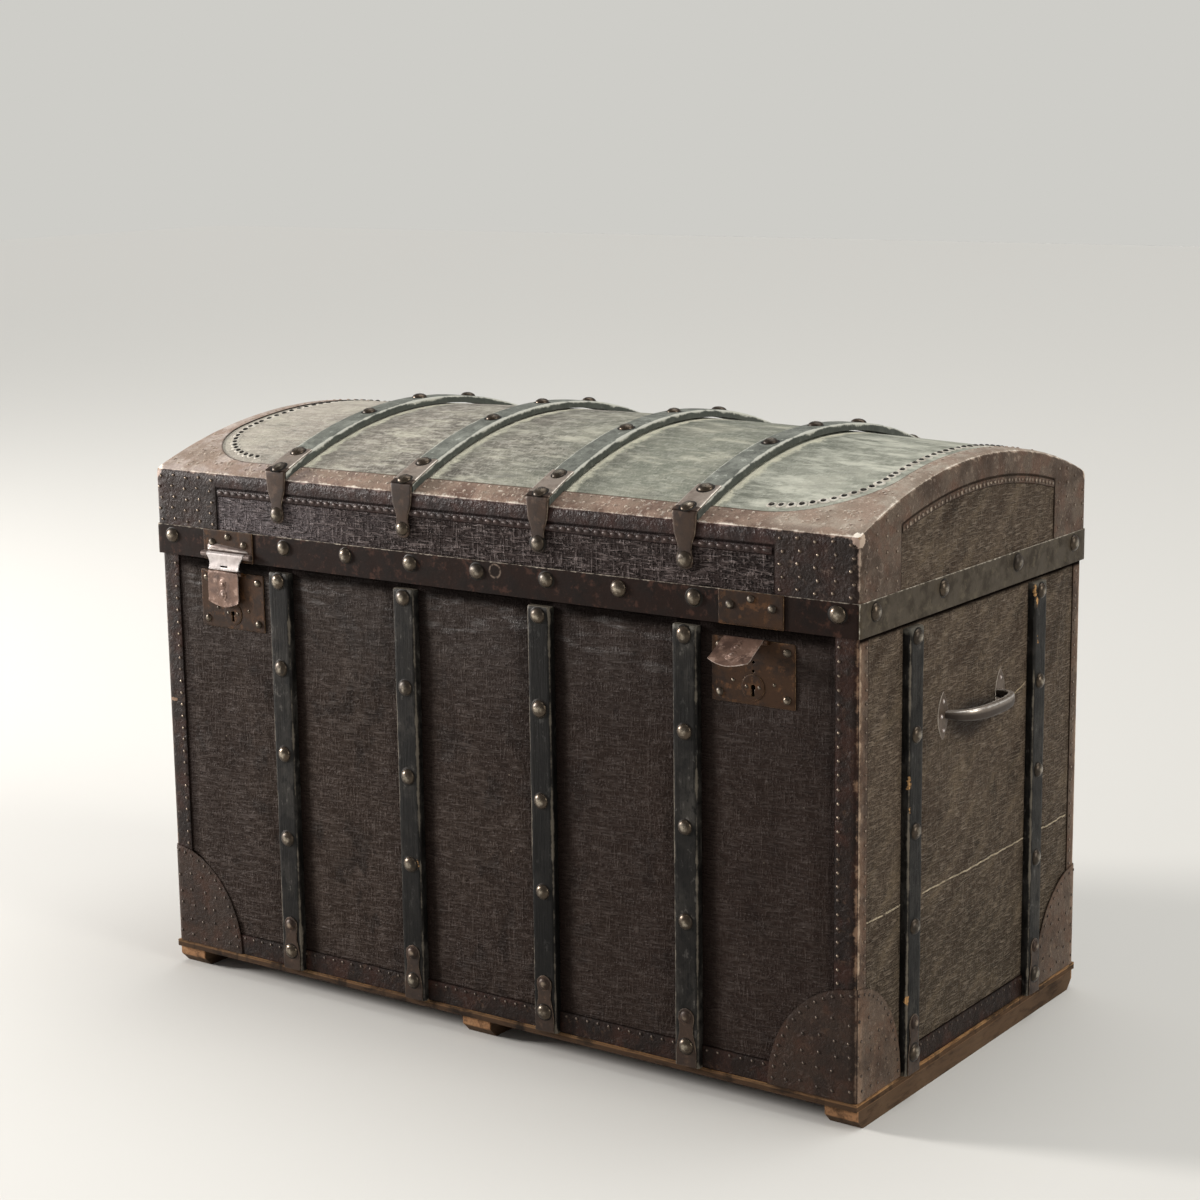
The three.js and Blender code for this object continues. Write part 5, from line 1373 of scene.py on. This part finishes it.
def hasp_plate(name, centre, with_hasp):
    """A nailed plate on the band; with a hasp it has knuckles, a pin and a pressed collar too."""
    face, end, knuckle = HASP_PLATE_BACK, HASP_PLATE_HALF, 9
    outline = rounded_box(centre - end, centre + end, BAND_LOW, BAND_HIGH, 1.0, 2)
    parts = [coat(plate(name, outline, on_front(face + 1.5), 1.5, 0.4), BRASS)]
    studs = heads_at(face + 0.1, *((centre + a, BAND_HIGH - d) for a, d in ((-24, 14), (0, 6.5), (24, 14))))
    parts.append(nails("studs", studs, 4.6, 2.7, 18, NAIL, 81, 0.1))
    if with_hasp:
        for x0 in (centre - end, centre + end - knuckle):
            parts.append(coat(rod("knuckle", x0, x0 + knuckle, HASP_AXIS, HASP_ROLL), COLLAR))
            parts.append(coat(block("web", x0, x0 + knuckle, HASP_AXIS[0], face + 0.1, 498.2, 504.6), COLLAR))
        parts.append(coat(rod("pin", centre - 28.2, centre + 28.2, HASP_AXIS, 1.4, 12), DARK_STEEL))
        half, low = 31, 504.9

        def collar(a, s):
            swell = (abs(a) / half) ** 6
            top = 511.5 - 2.6 * (a / half) - 3.4 * swell
            out = (1.2 * (1 - s) ** 0.6 + 1.5 * math.sin(math.pi * min(1.0, s * 1.05)) ** 1.3) * (1 - swell)
            point = Vector((centre + a, face + 0.15 - out, low + (top - low) * s))
            return point, Vector((0, -1, 0.9 * s - 0.15))

        across = [-half + 2 * half * i / 30 for i in range(31)]
        sheet = bent_sheet("collar", across, [i / 10 for i in range(11)], collar, 0.35)
        # painted highlight in a band across the collar
        for wear_and_shading_value, vertex in zip(sheet.data.attributes["wear_and_shading"].data, sheet.data.vertices):
            wear_and_shading_value.value = max(0.0, 1.1 - abs(vertex.co.z / MM - 507.2) / 3.2)
        parts.append(coat(sheet, COLLAR))
    finish(joined(name, parts), "lid", (name,))


def hasp(name, centre):
    """A sheet rolled round its pin, with a slot and a lip at its foot."""
    half, foot = HASP_HALF, 16
    axis = Vector((centre, *HASP_AXIS))

    def surface(a, s):
        point, facing = rolled(a, min(s, 0), HASP_ROLL)
        if s >= 0:
            share = s / foot
            narrow = 1 - 0.2 * math.sin(min(1.0, 1.5 * share) * math.pi / 2)
            flare = 2.6 * share ** 2.2 + 0.25 * noise.noise(Vector((a / 10, s / 6, 2)))
            point = Vector((a * narrow, -HASP_ROLL - flare, -s * (1 - 0.03 * (a / 27) ** 2)))
            facing = Vector((0, -1, 0.32 * share))
        return axis + point - facing.normalized() * 1.5, facing

    right = [4, 7, 8, 12, 16, 20, 24, 26.8, half]
    across = [-a for a in reversed(right)] + [0] + right
    along = [*range(-8, 1), 1.5, 3, 4.5, 6, 7, 8, 10, 11, 12, 13, 14, 15, 15.6, foot]
    sheet = bent_sheet(name, across, along, surface, 1.6, lambda a, s: not (abs(a) < 7.5 and 11 < s < 13))
    roll = rod("roll", centre - half, centre + half, HASP_AXIS, 3.05, 24)
    lip = rod("lip", centre - 21.2, centre + 21.2, (axis.y - 5.3, axis.z - 15.3), 0.9, 12)
    parts = [coat(sheet, BRIGHT), coat(roll, STEEL), coat(lip, BRIGHT)]
    finish(joined(name, parts), "hasp_left", (name,))


lock("lock_left", LOCKS[0], LATCHES[0])
lock("lock_right", LOCKS[1], LATCHES[1])
latch("latch_left", LATCHES[0], 0)
latch("latch_right", LATCHES[1], 58)
hasp_plate("hasp_plate_left", LOCKS[0], True)
hasp_plate("hasp_plate_right", LOCKS[1], False)
hasp("hasp_left", LOCKS[0])


# End handles: a stamped trough between two pointed oval plates
def handle(name, sx):
    """A stiff bow of stamped sheet between two riveted plates, on an end of the case."""
    middle_y, middle_z, half_long, stands_out = -11.0, 384.0, 60, 35

    def spot(a, b, h):
        return Vector((sx * (ON_CASE_X + h), middle_y + a, middle_z + b))

    def bow(t):
        c, power = math.cos(t), 2 / 2.6
        return -math.copysign(abs(c) ** power, c) * half_long, max(0.6, math.sin(t) ** power * stands_out)

    stations = []
    first, last, count = 1e-4, math.pi - 1e-4, 48
    for i in range(count + 1):
        t = held(math.pi * i / count, first, last)
        a, h = bow(t)
        before, after = bow(max(first, t - 0.02)), bow(min(last, t + 0.02))
        along = Vector((after[0] - before[0], after[1] - before[1])).normalized()
        outward = spot(a - along.y, 0, h + along.x) - spot(a, 0, h)
        stations.append((spot(a, 0, h), (0, 0, 1), outward, 0.6 + 0.44 * math.sin(t) ** 0.7, 1.0))
    outside = [(3.0, 0.0, 0.3), (5.2, -0.5, 0.9), (6.3, -1.6, 0.6), (6.6, -4.0, 0.6), (6.5, -6.6, 1.0)]
    lining = [(5.6, -6.9, 1.0), (5.0, -6.3, 0.6), (4.9, -3.2, 0.2), (3.6, -2.0, 0.1)]
    far_outside, far_lining = ([(-a, n, wear_and_shading_value) for a, n, wear_and_shading_value in side[::-1]] for side in (outside, lining))
    trough = [*far_outside, (0, 0.25, 0.1), *outside, *lining, (0, -1.6, 0.0), *far_lining]
    parts = [coat(sweep(name, stations, trough, 50), GRIP)]
    rivets = []
    for way in (-1, 1):
        centre = way * 64.0
        ups = [i / 6 - 1 for i in range(13)]
        outline = [(centre + side * (10.5 * (1 - t * t) ** 0.9 + 0.3), 25 * t)
                   for side, part in ((1, ups), (-1, ups[-2:0:-1])) for t in part]
        parts.append(coat(plate("plate", outline, spot, 1.6, 0.6), PLATE))
        rivets += [(spot(centre + (0 if up else way * 4), up, 1.5), (sx, 0, 0)) for up in (-15, 0, 15)]
    parts.append(nails("rivets", rivets, 2.5, 1.5, 14, STEEL, 91, 0.1))
    finish(joined(name, parts), "case", (name,))


handle("handle_right", 1)
handle("handle_left", -1)

# Studio: floor, backdrop, light and camera
mesh = bpy.data.meshes.new("floor")
mesh.from_pydata([(-14, -14, 0), (14, -14, 0), (14, 14, 0), (-14, 14, 0)], [], [(0, 1, 2, 3)])
coat(put("floor", mesh), Look("floor_paint", (212, 211, 207), 0.8).done())

world = bpy.data.worlds.new("studio")
bpy.context.scene.world = world
world.use_nodes = True
tree = world.node_tree
lit = tree.nodes["Background"]
lit.inputs["Color"].default_value = (0.6, 0.6, 0.6, 1)
lit.inputs["Strength"].default_value = 0.5
seen = add_node(tree, "ShaderNodeBackground", {"Color": tone(206, 205, 200)})
path = add_node(tree, "ShaderNodeLightPath")
blend = add_node(tree, "ShaderNodeMixShader",
                 {0: path.outputs["Is Camera Ray"], 1: lit.outputs[0], 2: seen.outputs[0]})
tree.links.new(blend.outputs[0], tree.nodes["World Output"].inputs[0])


def shine(name, kind, place, target, power, colour, **settings):
    """A lamp at a place that points at a target."""
    light = bpy.data.lights.new(name, kind)
    light.energy = power
    light.color = tone(*colour)[:3]
    for key, value in settings.items():
        setattr(light, key, value)
    holder = put(name, light)
    holder.location = place
    holder.rotation_euler = (Vector(target) - Vector(place)).to_track_quat("-Z", "Y").to_euler()


shine("ceiling", "SUN", (0.3, 0.9, 3), (0, 0, 0), 1.55, (255, 254, 252), angle=math.radians(50))
shine("right_side", "SUN", (3, 0.1, 1.3), (0, 0, 0), 1.55, (255, 251, 243), angle=math.radians(30))
shine("left_window", "AREA", (-4.8, -2.0, 1.5), (-0.2, -0.25, 0.35), 420, (255, 250, 246), shape="DISK",
      size=1.3)

yaw, pitch, roll = (math.radians(v) for v in (35.3633, 11.1839, -0.79022))
forward = Vector((-math.sin(yaw) * math.cos(pitch), math.cos(yaw) * math.cos(pitch), -math.sin(pitch)))
level = Vector((math.cos(yaw), math.sin(yaw), 0))
upward = level.cross(forward)
right = level * math.cos(roll) + upward * math.sin(roll)
up = upward * math.cos(roll) - level * math.sin(roll)
camera = bpy.data.cameras.new("camera")
camera.lens, camera.sensor_width = 75.0, 36.0
holder = put("camera", camera)
stand = Matrix((right, up, -forward)).transposed().to_4x4()
stand.translation = (1.59073, -2.26540, 0.99058)
holder.matrix_world = stand
bpy.context.scene.camera = holder
bpy.context.scene.view_settings.view_transform = "Standard"
